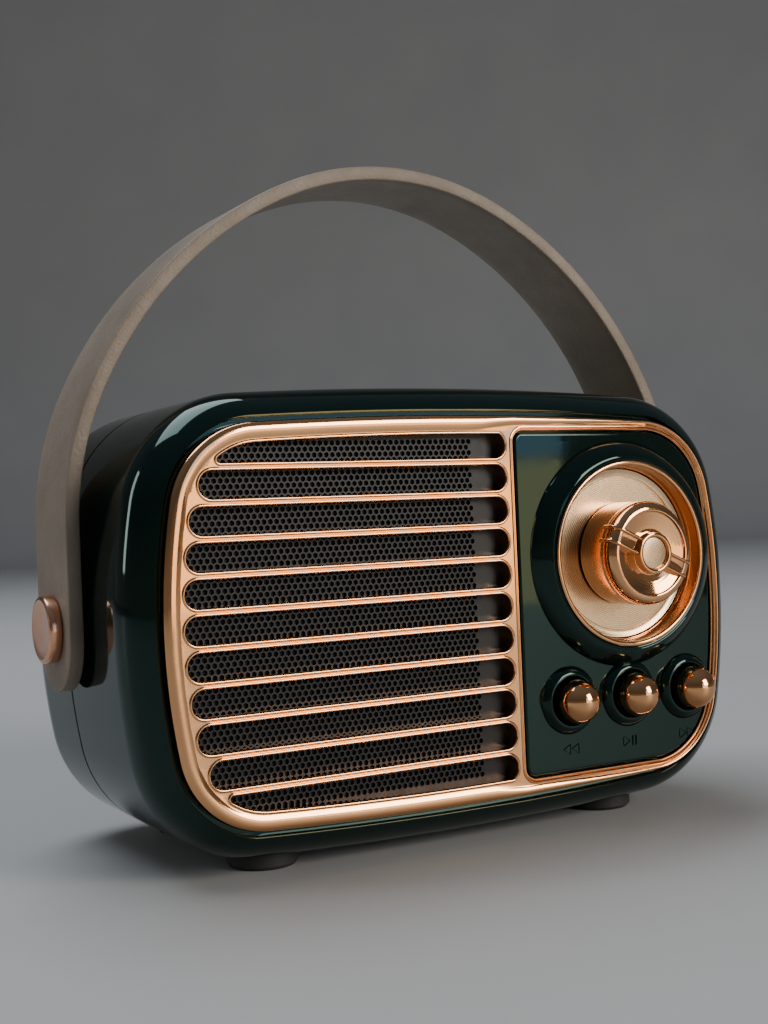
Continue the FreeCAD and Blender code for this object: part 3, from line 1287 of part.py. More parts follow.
def leads():
    """The leads inside the case, in panel coordinates: plug, bends in between, far end."""
    radius = float(S.lead_radius)
    pitch = float(S.lead_pitch)
    plug = float(S.plug_rise - S.main_board_depth)
    plug_x = float(S.main_board_left + S.plug_inset)
    plug_y = float(S.plug_lift + S.plug_height / 2 - S.main_board_rise)
    tab = float(-flange_front - S.basket_thick)
    tab_x = float(S.driver_x + S.driver_flange) - pitch / 2
    cell = float(-inner_back + S.tape_thick + S.battery_thick)
    cell_x = float(S.battery_x + S.battery_width / 2) - END_INSET
    cell_low = float(-S.battery_height / 2) + CELL_LIFT
    speaker, power = [], []
    for step in (0, 1):
        x = plug_x + SPEAKER_PIN + pitch * step
        level = TAB_PITCH * step - TAB_DROP
        high = plug + SPEAKER_LOOP
        speaker.append(tube([(x, plug_y, plug), (x, plug_y, plug + SPEAKER_LOOP / 2),
                             (x - END_INSET, (plug_y + level) / 2, high),
                             (tab_x, level, (high + tab) / 2 - END_INSET),
                             (tab_x, level, tab)], radius))
        x = plug_x + POWER_PIN + pitch * step
        level = cell_low - pitch * step
        low = plug_y - pitch * step - END_INSET
        high = plug + POWER_LOOP + pitch * step
        power.append(tube([(x, plug_y, plug), (x, plug_y, high),
                           (x - 2 * END_INSET, low, high + pitch),
                           (cell_x + END_INSET, low + END_INSET / 2, high + pitch / 4),
                           (cell_x, level, cell + END_INSET),
                           (cell_x, level, cell)], radius))
    return [shape_node("speaker_leads", Part.makeCompound(speaker)),
            shape_node("battery_leads", Part.makeCompound(power))]


# ---------------------------------------------------------------- strap and fasteners


def strap_side(offset):
    """The right half of the strap's line in side view, offset outward from its middle line.
    The strap stands straight up past the pivot, then arches over in three tangent bends."""
    reach = float(strap_inner_x + S.strap_thick / 2)
    base = float(S.strap_base)
    bend = float(S.strap_bend)
    turn = math.radians(float(S.strap_bend_turn))
    shoulder = bend + (reach - bend) / (math.cos(turn) - math.sin(turn))
    shift = -(shoulder - bend) * math.sin(turn)
    quarter = math.pi / 2
    bends = [((reach - bend, 0.0), bend, 0.0, turn),
             ((shift, shift), shoulder, turn, quarter - turn),
             ((0.0, reach - bend), bend, quarter - turn, quarter)]
    edges = [Part.LineSegment(Vector(reach + offset, -float(S.strap_tail), 0),
                              Vector(reach + offset, base, 0)).toShape()]
    for (x, y), radius, start, end in bends:
        edges.append(arc_curve((x, y + base), radius + offset, start, end).toShape())
    return edges


def leather_strap():
    """A flat leather strap, arched over the case, with rounded ends and two pivot holes."""
    half = float(S.strap_thick) / 2
    outer, inner = strap_side(half), strap_side(-half)
    tail = -float(S.strap_tail)
    reach = float(strap_inner_x)
    close = Part.LineSegment(Vector(reach, tail, 0), Vector(reach + 2 * half, tail, 0)).toShape()
    top = float(S.strap_rise)
    seam = Part.LineSegment(Vector(0, top, 0), Vector(0, top - 2 * half, 0)).toShape()
    side = Part.Face(Part.Wire(Part.__sortEdges__(outer + inner + [close, seam])))
    wide = float(S.strap_width)
    band = side.extrude(Vector(0, 0, wide))
    band.translate(Vector(0, 0, -wide / 2))
    tip = Vector(0, float(wide / 2 - S.strap_tail), 0)
    above = Part.makeBox(OPEN_END * 5, OPEN_END * 5, wide, Vector(0, tip.y, -wide / 2))
    ends = Part.makeCylinder(wide / 2, OPEN_END * 5, tip, Vector(1, 0, 0)).fuse(above)
    band = band.common(ends)
    hole = Part.makeCylinder(float(S.pivot_radius + S.pivot_play), OPEN_END * 5, Vector(0, 0, 0),
                             Vector(1, 0, 0))
    band = band.cut(hole)
    strap = band.fuse(band.mirror(Vector(0, 0, 0), Vector(1, 0, 0))).removeSplitter()
    return shape_node("leather_strap", strap, Size(0.0), S.strap_depth, Size(0.0))


def side_rotation(side):
    return Rotation(Vector(0, 1, 0), 90 * side)


def strap_fasteners():
    """The shoulder screws, spacers and threaded inserts at the strap's two ends."""
    shoulder = S.strap_gap + S.strap_thick + S.pivot_slack
    edge = S.strap_screw_bevel
    screws, spacers, inserts = [], [], []
    thread = S.strap_screw_thread
    for side in (-1, 1):
        turn = side_rotation(side)
        screw = turned("strap_screw", [
            (Size(0.0), -S.strap_screw_length), (thread, -S.strap_screw_length),
            (thread, Size(0.0)), (S.pivot_radius, Size(0.0)), (S.pivot_radius, shoulder),
            (S.strap_screw_head - edge / 2, shoulder), (S.strap_screw_head, shoulder + edge / 2),
            (S.strap_screw_head, shoulder + S.strap_screw_rise - edge),
            (S.strap_screw_head - edge, shoulder + S.strap_screw_rise),
            (Size(0.0), shoulder + S.strap_screw_rise)])
        spacer = turned("strap_spacer", ring_profile(
            S.pivot_radius + S.pivot_play, S.strap_boss + S.spacer_land, -S.strap_gap + S.pivot_slack,
            -Size(0.0)))
        insert = turned("strap_insert", ring_profile(thread + S.shaft_fit, S.insert_radius, Size(0.0),
                                                     S.strap_screw_length))
        for feature, members in ((screw, screws), (spacer, spacers), (insert, inserts)):
            members.append(place(feature, side * half_width, S.strap_depth, Size(0.0), turn))
    return [group("strap_screws", screws), group("strap_spacers", spacers),
            group("strap_inserts", inserts)]


def case_screws():
    screws = []
    seat = screw_seat()
    tip = S.screw_bite + S.lip_length - S.seam_depth
    for x, y in boss_places():
        screw = turned("case_screw", [
            (Size(0.0), -seat - S.screw_head_rise), (S.screw_head, -seat - S.screw_head_rise),
            (S.screw_head, -seat),
            (S.screw_shank, -seat), (S.screw_shank, tip), (Size(0.0), tip)])
        screws.append(place(screw, x, Size(0.0), y))
    return group("case_screws", screws)


# ---------------------------------------------------------------- the whole object


def build():
    nodes = [front_shell(), rear_shell(), feet(), grille_bezel(), control_panel()]
    nodes.append(shape_node("speaker_mesh", thickened(mesh_face(), S.bezel_thick, mesh_back)))
    nodes.append(shape_node("grille_cloth", thickened(mesh_face(), mesh_back, cloth_back)))
    nodes += dial() + knob() + [volume_control(), switch_bodies()]
    for name, x in zip(key_names, key_places):
        nodes += key(name, x)
    nodes += boards() + loudspeaker() + sockets() + components() + battery()
    nodes += leads() + [leather_strap()] + strap_fasteners() + [case_screws()]
    return nodes


def check_and_export(nodes):
    """Refuse a failed document, then write one STEP file for each node."""
    doc.recompute()
    for feature in doc.Objects:
        if "Invalid" in feature.State or "Error" in feature.State:
            raise RuntimeError("%s failed: %s" % (feature.Label, feature.State))
    os.makedirs("parts", exist_ok=True)
    for node in nodes:
        shape = node.Shape
        if shape.isNull() or not shape.isValid() or not shape.Solids:
            raise RuntimeError("%s has no valid solid" % node.Label)
        shape.exportStep("parts/%s.step" % node.Label)
        print("%-24s %2d solid(s) %10.1f mm3" % (node.Label, len(shape.Solids), shape.Volume))


check_and_export(build())
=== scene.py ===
import json
import math

import bmesh
import bpy
from mathutils import Matrix, Vector
from mathutils.geometry import tessellate_polygon


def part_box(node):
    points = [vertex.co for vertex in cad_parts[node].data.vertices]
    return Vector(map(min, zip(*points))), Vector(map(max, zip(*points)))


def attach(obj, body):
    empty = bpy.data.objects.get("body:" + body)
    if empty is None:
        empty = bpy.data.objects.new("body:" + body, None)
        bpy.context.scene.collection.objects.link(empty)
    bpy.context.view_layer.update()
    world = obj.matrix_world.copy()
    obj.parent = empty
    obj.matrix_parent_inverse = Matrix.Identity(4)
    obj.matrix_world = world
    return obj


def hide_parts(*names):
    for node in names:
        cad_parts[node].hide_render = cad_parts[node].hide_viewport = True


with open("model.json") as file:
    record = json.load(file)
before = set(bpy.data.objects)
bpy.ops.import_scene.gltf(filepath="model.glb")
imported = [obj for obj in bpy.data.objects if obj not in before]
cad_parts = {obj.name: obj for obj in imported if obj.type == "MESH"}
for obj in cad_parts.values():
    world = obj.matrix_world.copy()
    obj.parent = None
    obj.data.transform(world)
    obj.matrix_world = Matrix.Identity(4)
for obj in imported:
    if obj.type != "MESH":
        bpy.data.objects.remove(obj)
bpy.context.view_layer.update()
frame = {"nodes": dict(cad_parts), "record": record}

# ---------------- the frame's own places

MM = 0.001
BEZEL_LOW, BEZEL_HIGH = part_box("grille_bezel")
FRONT_Y = BEZEL_LOW.y                          # the plane of the bezel's face
MIDDLE_Z = (BEZEL_LOW.z + BEZEL_HIGH.z) / 2    # half height of the case


def spot(x, y, depth):
    """A point in panel millimetres: right, up from the case's middle, back from the bezel."""
    return Vector((x * MM, FRONT_Y + depth * MM, MIDDLE_Z + y * MM))


class PanelBox:
    """A CAD node's box at rest, in panel millimetres."""

    def __init__(self, node):
        low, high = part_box(node)
        self.left, self.right = low.x / MM, high.x / MM
        self.low, self.high = (low.z - MIDDLE_Z) / MM, (high.z - MIDDLE_Z) / MM
        self.front, self.back = (low.y - FRONT_Y) / MM, (high.y - FRONT_Y) / MM
        self.x, self.y = (self.left + self.right) / 2, (self.low + self.high) / 2
        self.depth = (self.front + self.back) / 2
        self.radius = (self.right - self.left) / 2


CASE = PanelBox("rear_shell")
SEAM = PanelBox("front_shell").back
BEZEL = PanelBox("grille_bezel")
SHEET = PanelBox("speaker_mesh")
CLOTH = PanelBox("grille_cloth")
PANEL = PanelBox("control_panel")
RING = PanelBox("dial_ring")
PLATE = PanelBox("dial_plate")
KNOB = PanelBox("volume_knob")
DISC = PanelBox("knob_centre_disc")
STRAP = PanelBox("leather_strap")
SCREWS = PanelBox("strap_screws")
FEET = PanelBox("rubber_feet")
CASE_SCREWS = PanelBox("case_screws")
KEY_NAMES = ("previous", "play", "next")
KEYS = {name: PanelBox(name + "_key") for name in KEY_NAMES}

# Shapes below are in millimetres. The case outline has bowed sides, top and bottom and four bends.
SIDE_BOW, TOP_BOW, CORNER_BEND = 84.5, 552.0, 15.2
FRONT_ROLL, BACK_ROLL, CASE_WALL, SEAM_BEVEL = 6.2, 9.0, 2.0, 0.3
BEZEL_MARGIN = CASE.right - BEZEL.right
BEZEL_GAP = 0.5          # between the bezel's edge and the front shell's rim
BAFFLE_BACK = 4.4        # depth of the back of the wall that carries the grille
OUTLINE_STEPS = 8, 22, 12    # points on half a side, a bend and half the top
SLOT_COUNT, SLOT_PITCH, BAR_HEIGHT = 11, 4.135, 0.98
SLOT_INSET, SLOTS_RIGHT = 2.55, 5.8
SLOT_ROUND, OUTER_SLOT_ROUND = 0.485, 0.1    # corner radii as shares of a slot's height

# ---------------- loops: (x, y, normal x, normal y)


def arc(centre, radius, start, end, count):
    """Points on an arc without its last one, each with its outward normal."""
    points = []
    for step in range(count):
        angle = start + (end - start) * step / count
        c, s = math.cos(angle), math.sin(angle)
        points.append((centre[0] + radius * c, centre[1] + radius * s, c, s))
    return points


def outline():
    """The case outline, counter-clockwise from the middle of its right side."""
    side_x, top_y = CASE.right - SIDE_BOW, CASE.high - TOP_BOW
    span = math.hypot(side_x, top_y)
    to_side, to_top = SIDE_BOW - CORNER_BEND, TOP_BOW - CORNER_BEND
    along = (to_side**2 - to_top**2 + span**2) / (2 * span)
    across = math.sqrt(to_side**2 - along**2)
    step_x, step_y = -side_x / span, top_y / span
    corner_x = side_x + along * step_x - across * step_y
    corner_y = along * step_y + across * step_x
    low = math.atan2(corner_y, corner_x - side_x)
    high = math.atan2(corner_y - top_y, corner_x)
    side_steps, corner_steps, top_steps = OUTLINE_STEPS
    quarter = arc((side_x, 0), SIDE_BOW, 0, low, side_steps)
    quarter += arc((corner_x, corner_y), CORNER_BEND, low, high, corner_steps)
    quarter += arc((0, top_y), TOP_BOW, high, math.pi / 2, top_steps)
    quarter.append((0, CASE.high, 0, 1))
    half = quarter + [(-x, y, -nx, ny) for x, y, nx, ny in reversed(quarter[1:-1])]
    half.append((-quarter[0][0], 0, -1, 0))
    return half + [(x, -y, nx, -ny) for x, y, nx, ny in reversed(half[1:-1])]


OUTLINE = outline()


def circle(x, y, radius, count=96):
    return arc((x, y), radius, 0, 2 * math.pi, count)


def moved(loop, offset):
    return [(x + nx * offset, y + ny * offset, nx, ny) for x, y, nx, ny in loop]


def clipped(corners, nx, ny, limit):
    """The part of a convex polygon no further than limit along a direction."""
    kept = []
    for here, after in zip(corners, corners[1:] + corners[:1]):
        a, b = (limit - nx * end[0] - ny * end[1] for end in (here, after))
        if a >= 0:
            kept.append(here)
        if (a >= 0) != (b >= 0):
            t = a / (a - b)
            kept.append((here[0] + (after[0] - here[0]) * t, here[1] + (after[1] - here[1]) * t))
    return kept


SAME_CORNER, SAME_POINT = 1e-4, 1e-3    # closer corners or loop points count as one
ROUND_STEP = math.radians(9)            # turn between two points of a rounded corner


def grown(corners, radius):
    """A convex counter-clockwise polygon with its corners rounded outward, as a loop."""
    pairs = zip(corners, corners[-1:] + corners[:-1])
    corners = [here for here, last in pairs if math.dist(here, last) > SAME_CORNER]
    loop = []
    for before, here, after in zip(corners[-1:] + corners[:-1], corners, corners[1:] + corners[:1]):
        first = math.atan2(before[0] - here[0], here[1] - before[1])
        turn = math.atan2(here[0] - after[0], after[1] - here[1]) - first
        turn = (turn + math.pi) % (2 * math.pi) - math.pi
        count = max(0, round(turn / ROUND_STEP))
        for number in range(count + 1):
            angle = first + turn * (number / count if count else 0.5)
            c, s = math.cos(angle), math.sin(angle)
            point = (here[0] + radius * c, here[1] + radius * s, c, s)
            if not loop or math.dist(point[:2], loop[-1][:2]) > SAME_POINT:
                loop.append(point)
    return loop if math.dist(loop[0][:2], loop[-1][:2]) > SAME_POINT else loop[:-1]


def region(offset, left, right, low, high, radius, shrink=0.0, cap=0.0):
    """The case outline moved in by offset and cut to a box, with rounded corners, as a loop.
    A cap gives the corners on the right a larger radius."""
    corners = [(x, y) for x, y, _, _ in moved(OUTLINE, -offset - radius)]
    sides = [(-1, 0, -left), (0, -1, -low), (0, 1, high)] + ([] if cap else [(1, 0, right)])
    for nx, ny, limit in sides:
        corners = clipped(corners, nx, ny, limit - radius)
    for degrees in range(-86, 85, 6) if cap else ():
        nx, ny = math.cos(math.radians(degrees)), math.sin(math.radians(degrees))
        middle = (right - cap, high - cap) if degrees > 0 else (right - cap, low + cap)
        corners = clipped(corners, nx, ny, nx * middle[0] + ny * middle[1] + cap - radius)
    return grown(corners, radius - shrink)


def rectangle(x, y, width, height, radius):
    """A rectangle with round corners, as a loop."""
    w, h = width / 2 - radius, height / 2 - radius
    return grown([(x + w, y - h), (x + w, y + h), (x - w, y + h), (x - w, y - h)], radius)


# ---------------- skins


class Skin:
    """Points and faces of one piece, in its own millimetres until it is made."""

    def __init__(self):
        self.points, self.faces, self.inks, self.ink = [], [], [], 0

    def add(self, *corners):
        self.faces.append(corners)
        self.inks.append(self.ink)

    def row(self, points):
        """Adds points and returns their numbers."""
        first = len(self.points)
        self.points += points
        return list(range(first, len(self.points)))

    def ring(self, loop, offset, depth):
        """One ring of points: a loop moved out by offset, a number or one for each point."""
        offsets = offset if isinstance(offset, list) else [offset] * len(loop)
        return self.row((x + nx * d, y + ny * d, depth) for (x, y, nx, ny), d in zip(loop, offsets))

    def bridge(self, first, second):
        for i in range(len(first)):
            j = (i + 1) % len(first)
            self.add(first[i], first[j], second[j], second[i])

    def wall(self, loop, profile, closed=False):
        """Rings along a profile of (offset, depth), joined. Returns the first and last ring."""
        rings = [self.ring(loop, offset, depth) for offset, depth in profile]
        for first, second in zip(rings, rings[1:] + (rings[:1] if closed else [])):
            self.bridge(first, second)
        return rings[0], rings[-1]

    def fill(self, outer, holes=()):
        """A flat face between an outer ring and the rings of its holes, in triangles."""
        rings = [outer, *holes]
        flat = [[Vector((*self.points[i][:2], 0)) for i in ring] for ring in rings]
        index = [i for ring in rings for i in ring]
        for corners in tessellate_polygon(flat):
            self.add(*(index[c] for c in corners))

    def ends(self, first, last, holes):
        """Flat faces over both ends of a wall, around the two ends of each hole's wall."""
        self.fill(first, [hole[0] for hole in holes])
        self.fill(last, [hole[1] for hole in holes])

    def block(self, loop, profile):
        """A wall along a profile, closed flat at both ends."""
        for ring in self.wall(loop, profile):
            self.fill(ring)

    def lathe(self, x, y, profile, count=96):
        """A solid turned about the depth axis from (radius, depth) pairs. A profile that starts
        or ends on the axis is closed there, any other is a closed ring."""
        loop = circle(x, y, 0.0, count)
        inner = [(r, d) for r, d in profile if r > 0]
        rings = self.wall(loop, inner, closed=len(inner) == len(profile))
        if profile[0][0] == 0:
            self.cap(rings[0], (x, y, profile[0][1]))
        if profile[-1][0] == 0:
            self.cap(rings[1], (x, y, profile[-1][1]))

    def cap(self, ring, middle):
        self.points.append(middle)
        for i in range(len(ring)):
            self.add(ring[i], ring[(i + 1) % len(ring)], len(self.points) - 1)

    def mesh(self, name, place=spot):
        mesh = bpy.data.meshes.new(name)
        mesh.from_pydata([place(*p) for p in self.points], [], self.faces)
        mesh.polygons.foreach_set("material_index", self.inks)
        work = bmesh.new()
        work.from_mesh(mesh)
        bmesh.ops.recalc_face_normals(work, faces=work.faces)
        if work.calc_volume(signed=True) < 0:
            bmesh.ops.reverse_faces(work, faces=work.faces)
        work.to_mesh(mesh)
        work.free()
        return mesh

    def piece(self, name, place=spot):
        return add_object(name, self.mesh(name, place))


def add_object(name, data):
    added = bpy.data.objects.new(name, data)
    bpy.context.scene.collection.objects.link(added)
    return added


def finished(piece, materials, body, nodes, sharp=32.0, weighted=True):
    """Smooth shading with crisp edges, the materials, and the piece's place in the frame."""
    mesh = piece.data
    mesh.materials.clear()
    for material in materials:
        mesh.materials.append(material)
    mesh.shade_smooth()
    mesh.set_sharp_from_angle(angle=math.radians(sharp))
    if weighted:
        piece.modifiers.new("even_shading", "WEIGHTED_NORMAL").keep_sharp = True
    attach(piece, body)
    if nodes:
        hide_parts(*nodes)


SAME_VERTEX, SHORT_EDGE = 5e-8, 2e-7    # metres


def cut(piece, operation, tool):
    step = piece.modifiers.new("combine", "BOOLEAN")
    step.operation, step.object, step.solver = operation, tool, "EXACT"


def combined(base, joined=(), removed=()):
    """The base mesh object after union with one list and difference with the other."""
    for tool in joined:
        cut(base, "UNION", tool)
    for tool in removed:
        cut(base, "DIFFERENCE", tool)
    graph = bpy.context.evaluated_depsgraph_get()
    mesh = bpy.data.meshes.new_from_object(base.evaluated_get(graph))
    base.modifiers.clear()
    base.data = mesh
    for tool in (*joined, *removed):
        bpy.data.objects.remove(tool)
    work = bmesh.new()
    work.from_mesh(mesh)
    bmesh.ops.remove_doubles(work, verts=work.verts, dist=SAME_VERTEX)
    bmesh.ops.dissolve_degenerate(work, edges=work.edges, dist=SHORT_EDGE)
    work.to_mesh(mesh)
    work.free()
    return base


def solid(draw):
    """A scratch object from a function that draws on a new skin."""
    skin = Skin()
    draw(skin)
    return skin.piece("tool")


def trimmed(pieces, keep):
    """The same objects, each cut to what lies inside another one."""
    for piece in pieces:
        cut(piece, "INTERSECT", keep)
    return pieces


def bend(centre, radius, start, end, count):
    """(offset, depth) pairs on an arc, angles in degrees from the outward direction."""
    pairs = []
    for step in range(count + 1):
        angle = math.radians(start + (end - start) * step / count)
        pairs.append((centre[0] + radius * math.cos(angle), centre[1] + radius * math.sin(angle)))
    return pairs


def smooth(value, start, end):
    t = min(1.0, max(0.0, (value - start) / (end - start)))
    return t * t * (3 - 2 * t)


# ---------------- case


RIM_ROUND = 0.22                   # the rounding beside the bezel
TRAY_ROUND, TRAY_PLAY = 0.3, 0.1    # the recess behind the perforated sheet
CONE_PLAY = 2.6                    # from the loudspeaker's cone to the edge of its opening
SHAFT_HOLE, KEY_HOLE = 3.6, 2.55


def front_shell():
    """The front half: rolled edge, side wall, and the wall behind the bezel with its openings."""
    skin = Skin()
    rim = BEZEL_GAP - BEZEL_MARGIN
    start = math.degrees(math.acos((rim + RIM_ROUND + FRONT_ROLL) / FRONT_ROLL))
    roll = bend((-FRONT_ROLL, FRONT_ROLL), FRONT_ROLL, -start, 0, 20)
    edge = roll[0][1]
    back = SHEET.front
    outside = [(rim, back), (rim, edge + 0.35), (rim + 0.05, edge + 0.12)] + roll
    outside += [(0, SEAM - SEAM_BEVEL), (-SEAM_BEVEL, SEAM), (-CASE_WALL, SEAM)]
    first, last = skin.wall(OUTLINE, outside + [(-CASE_WALL, BAFFLE_BACK)])
    tray = region(BEZEL_MARGIN + 0.4, SHEET.left - TRAY_PLAY, SHEET.right + TRAY_PLAY,
                  SHEET.low - TRAY_PLAY, SHEET.high + TRAY_PLAY, TRAY_ROUND)
    tray_top, tray_floor = skin.wall(tray, [(0, back), (0, CLOTH.back)])
    cone = PanelBox("speaker_cone")
    way_top, way_end = skin.wall(circle(cone.x, 0, cone.radius + CONE_PLAY),
                                 [(0, CLOTH.back), (0, BAFFLE_BACK)])
    skin.fill(tray_floor, [way_top])
    holes = [(RING.x, RING.y, SHAFT_HOLE)] + [(key.x, key.y, KEY_HOLE) for key in KEYS.values()]
    ends = [skin.wall(circle(x, y, r, 48), [(0, back), (0, BAFFLE_BACK)]) for x, y, r in holes]
    skin.fill(first, [tray_top] + [end[0] for end in ends])
    skin.fill(last, [way_end] + [end[1] for end in ends])
    finished(skin.piece("shell_front"), [gloss_green], "case", ["front_shell"])


SCREW_HEAD, WELL = 2.1, 2.5    # radius of a case screw's head, and of the well it sits in
POST_WALL, POST_FLOOR, POST_INSET = 0.6, 1.9, 0.05
LIP_PLAY, LIP_THICK, LIP_REACH = 0.1, 0.9, 2.0    # the lip that slides into the front half
PORT_PLAY = 0.15               # round the sockets and the lamp
CHARGE_ROUND, CARD_ROUND = 0.47, 0.3    # corner radii as shares of an opening's height


def rear_ports():
    """Loops of the openings in the back wall: three sockets and the lamp."""
    ports = []
    for node in ("audio_socket", "charge_lamp"):
        box = PanelBox(node)
        ports.append(circle(box.x, box.y, box.radius + PORT_PLAY, 48))
    for node, share in (("charge_socket", CHARGE_ROUND), ("card_socket", CARD_ROUND)):
        box = PanelBox(node)
        wide, tall = (size + 2 * PORT_PLAY for size in (box.right - box.left, box.high - box.low))
        ports.append(rectangle(box.x, box.y, wide, tall, tall * share))
    return ports


def rear_shell():
    """The back half, with round wells for the case screws sunk through its rolled corners."""
    depth = CASE.back
    lip = CASE_WALL + LIP_PLAY
    lip_inside, lip_end = lip + LIP_THICK, SEAM - LIP_REACH
    outside = [(-SEAM_BEVEL, SEAM), (0, SEAM + SEAM_BEVEL)]
    outside += bend((-BACK_ROLL, depth - BACK_ROLL), BACK_ROLL, 0, 90, 26)
    inside = bend((-BACK_ROLL, depth - BACK_ROLL), BACK_ROLL - CASE_WALL, 90, 0, 12)
    inside += [(-CASE_WALL, SEAM + 2.6), (-lip_inside, SEAM + 1.8), (-lip_inside, lip_end)]
    edge = [(0.13, depth), (0.04, depth - 0.03), (0, depth - 0.12), (0, depth - CASE_WALL)]

    def shell(skin):
        foot = [(-lip_inside, lip_end), (-lip, lip_end), (-lip, SEAM)]
        _, face = skin.wall(OUTLINE, foot + outside)
        inner_face, _ = skin.wall(OUTLINE, inside + foot[:1])
        skin.ends(face, inner_face, [skin.wall(loop, edge) for loop in rear_ports()])

    inner = [(offset - POST_INSET, back - POST_INSET) for offset, back in outside]
    base, keep = solid(shell), solid(lambda skin: skin.block(OUTLINE, inner))
    floor = CASE_SCREWS.back + 0.05
    posts, wells = [], []
    for x in (CASE_SCREWS.left + SCREW_HEAD, CASE_SCREWS.right - SCREW_HEAD):
        for y in (CASE_SCREWS.low + SCREW_HEAD, CASE_SCREWS.high - SCREW_HEAD):
            for group, radius, low in ((posts, WELL + POST_WALL, floor - POST_FLOOR),
                                       (wells, WELL, floor)):
                ends = [(0, low), (radius, low), (radius, depth + 3), (0, depth + 3)]
                group.append(solid(lambda skin: skin.lathe(x, y, ends, 64)))
    piece = combined(base, trimmed(posts, keep), wells)
    bpy.data.objects.remove(keep)
    piece.name = "shell_rear"
    finished(piece, [gloss_green], "case", ["rear_shell"])


FOOT = [(0, 0.35), (2.6, 0.3), (3.3, 0.05), (3.7, 0.0), (4.1, 0.08), (4.4, 0.45), (4.4, 2.4),
        (0, 2.4)]    # (radius, height)


def rubber_feet():
    """Four turned rubber feet with a soft lower edge and a shallow hollow."""
    radius = max(r for r, _ in FOOT)
    skin = Skin()
    for x in (FEET.left + radius, FEET.right - radius):
        for depth in (FEET.front + radius, FEET.back - radius):
            skin.lathe(x, depth, FOOT, 64)
    piece = skin.piece("feet", lambda x, depth, rise: spot(x, FEET.low + rise, depth))
    finished(piece, [rubber], "case", ["rubber_feet"])


# ---------------- bezel and grille

WEB = 0.22              # how far the flat between the slots lies behind the bezel's crown
# (offset, depth) round an opening, then (share of the width, depth) across the band.
SLOT_BEAD = [(0, 0.42), (0.025, 0.25), (0.09, 0.13), (0.17, 0.075), (0.25, 0.07), (0.33, 0.105),
             (0.4, 0.17), (0.45, WEB)]
OPENING_BEAD = [(0, 0.5), (0.03, 0.36), (0.1, 0.31), (0.18, 0.31), (0.225, 0.36), (0.26, 0.4),
                (0.3, 0.34), (0.34, 0.2), (0.4, 0.1), (0.47, 0.06), (0.55, 0.07), (0.62, 0.13),
                (0.67, WEB)]
BAND = [(0, 0.95), (0.03, 0.62), (0.09, 0.38), (0.17, 0.2), (0.27, 0.085), (0.38, 0.025),
        (0.5, 0), (0.62, 0.01), (0.74, 0.045), (0.85, 0.105), (0.94, 0.17), (1, WEB)]


def band_width(x):
    """Width of the bezel's crowned band: broad round the grille, narrow round the panel."""
    return 2.0 - 0.7 * smooth(x, 1.0, 7.5) - 0.7 * smooth(x, 8.0, 30.0)


def slot_loops():
    """The grille's slots, from the lowest up."""
    height = SLOT_PITCH - BAR_HEIGHT
    last = SLOT_COUNT // 2
    loops = []
    for number in range(-last, last + 1):
        y = number * SLOT_PITCH
        radius = height * (OUTER_SLOT_ROUND if abs(number) == last else SLOT_ROUND)
        loops.append(region(BEZEL_MARGIN + SLOT_INSET, CASE.left, SLOTS_RIGHT, y - height / 2,
                            y + height / 2, radius, cap=height * SLOT_ROUND))
    return loops


OPENING_MARGIN, OPENING_LEFT, OPENING_HALF, OPENING_ROUND = 1.35, 7.2, 22.5, 1.5


def panel_opening(shrink=0.0):
    """The bezel's opening for the control panel."""
    return region(BEZEL_MARGIN + OPENING_MARGIN, OPENING_LEFT, CASE.right, -OPENING_HALF,
                  OPENING_HALF, OPENING_ROUND, shrink)


def grille_bezel():
    """The plated front: a crowned band round a flat web with beaded slots and opening."""
    skin = Skin()
    edge = moved(OUTLINE, -BEZEL_MARGIN)
    widths = [band_width(x) for x, _, _, _ in edge]
    back = BEZEL.back
    outer = bottom = skin.ring(edge, 0, back)
    for share, depth in BAND:
        inner = skin.ring(edge, [-share * width for width in widths], depth)
        skin.bridge(outer, inner)
        outer = inner
    holes = [skin.wall(loop, [(0, back)] + SLOT_BEAD) for loop in slot_loops()]
    holes.append(skin.wall(panel_opening(), [(0, back)] + OPENING_BEAD))
    skin.ends(bottom, outer, holes)
    finished(skin.piece("bezel"), [rose_gold], "case", ["grille_bezel"])


HOLE_PITCH, HOLE_RADIUS, HOLES_RIGHT = 0.82, 0.355, 1.6
HOLES_MARGIN, SHEET_MARGIN = 1.6, 0.5    # from the bezel's edge in to the holes and the sheet


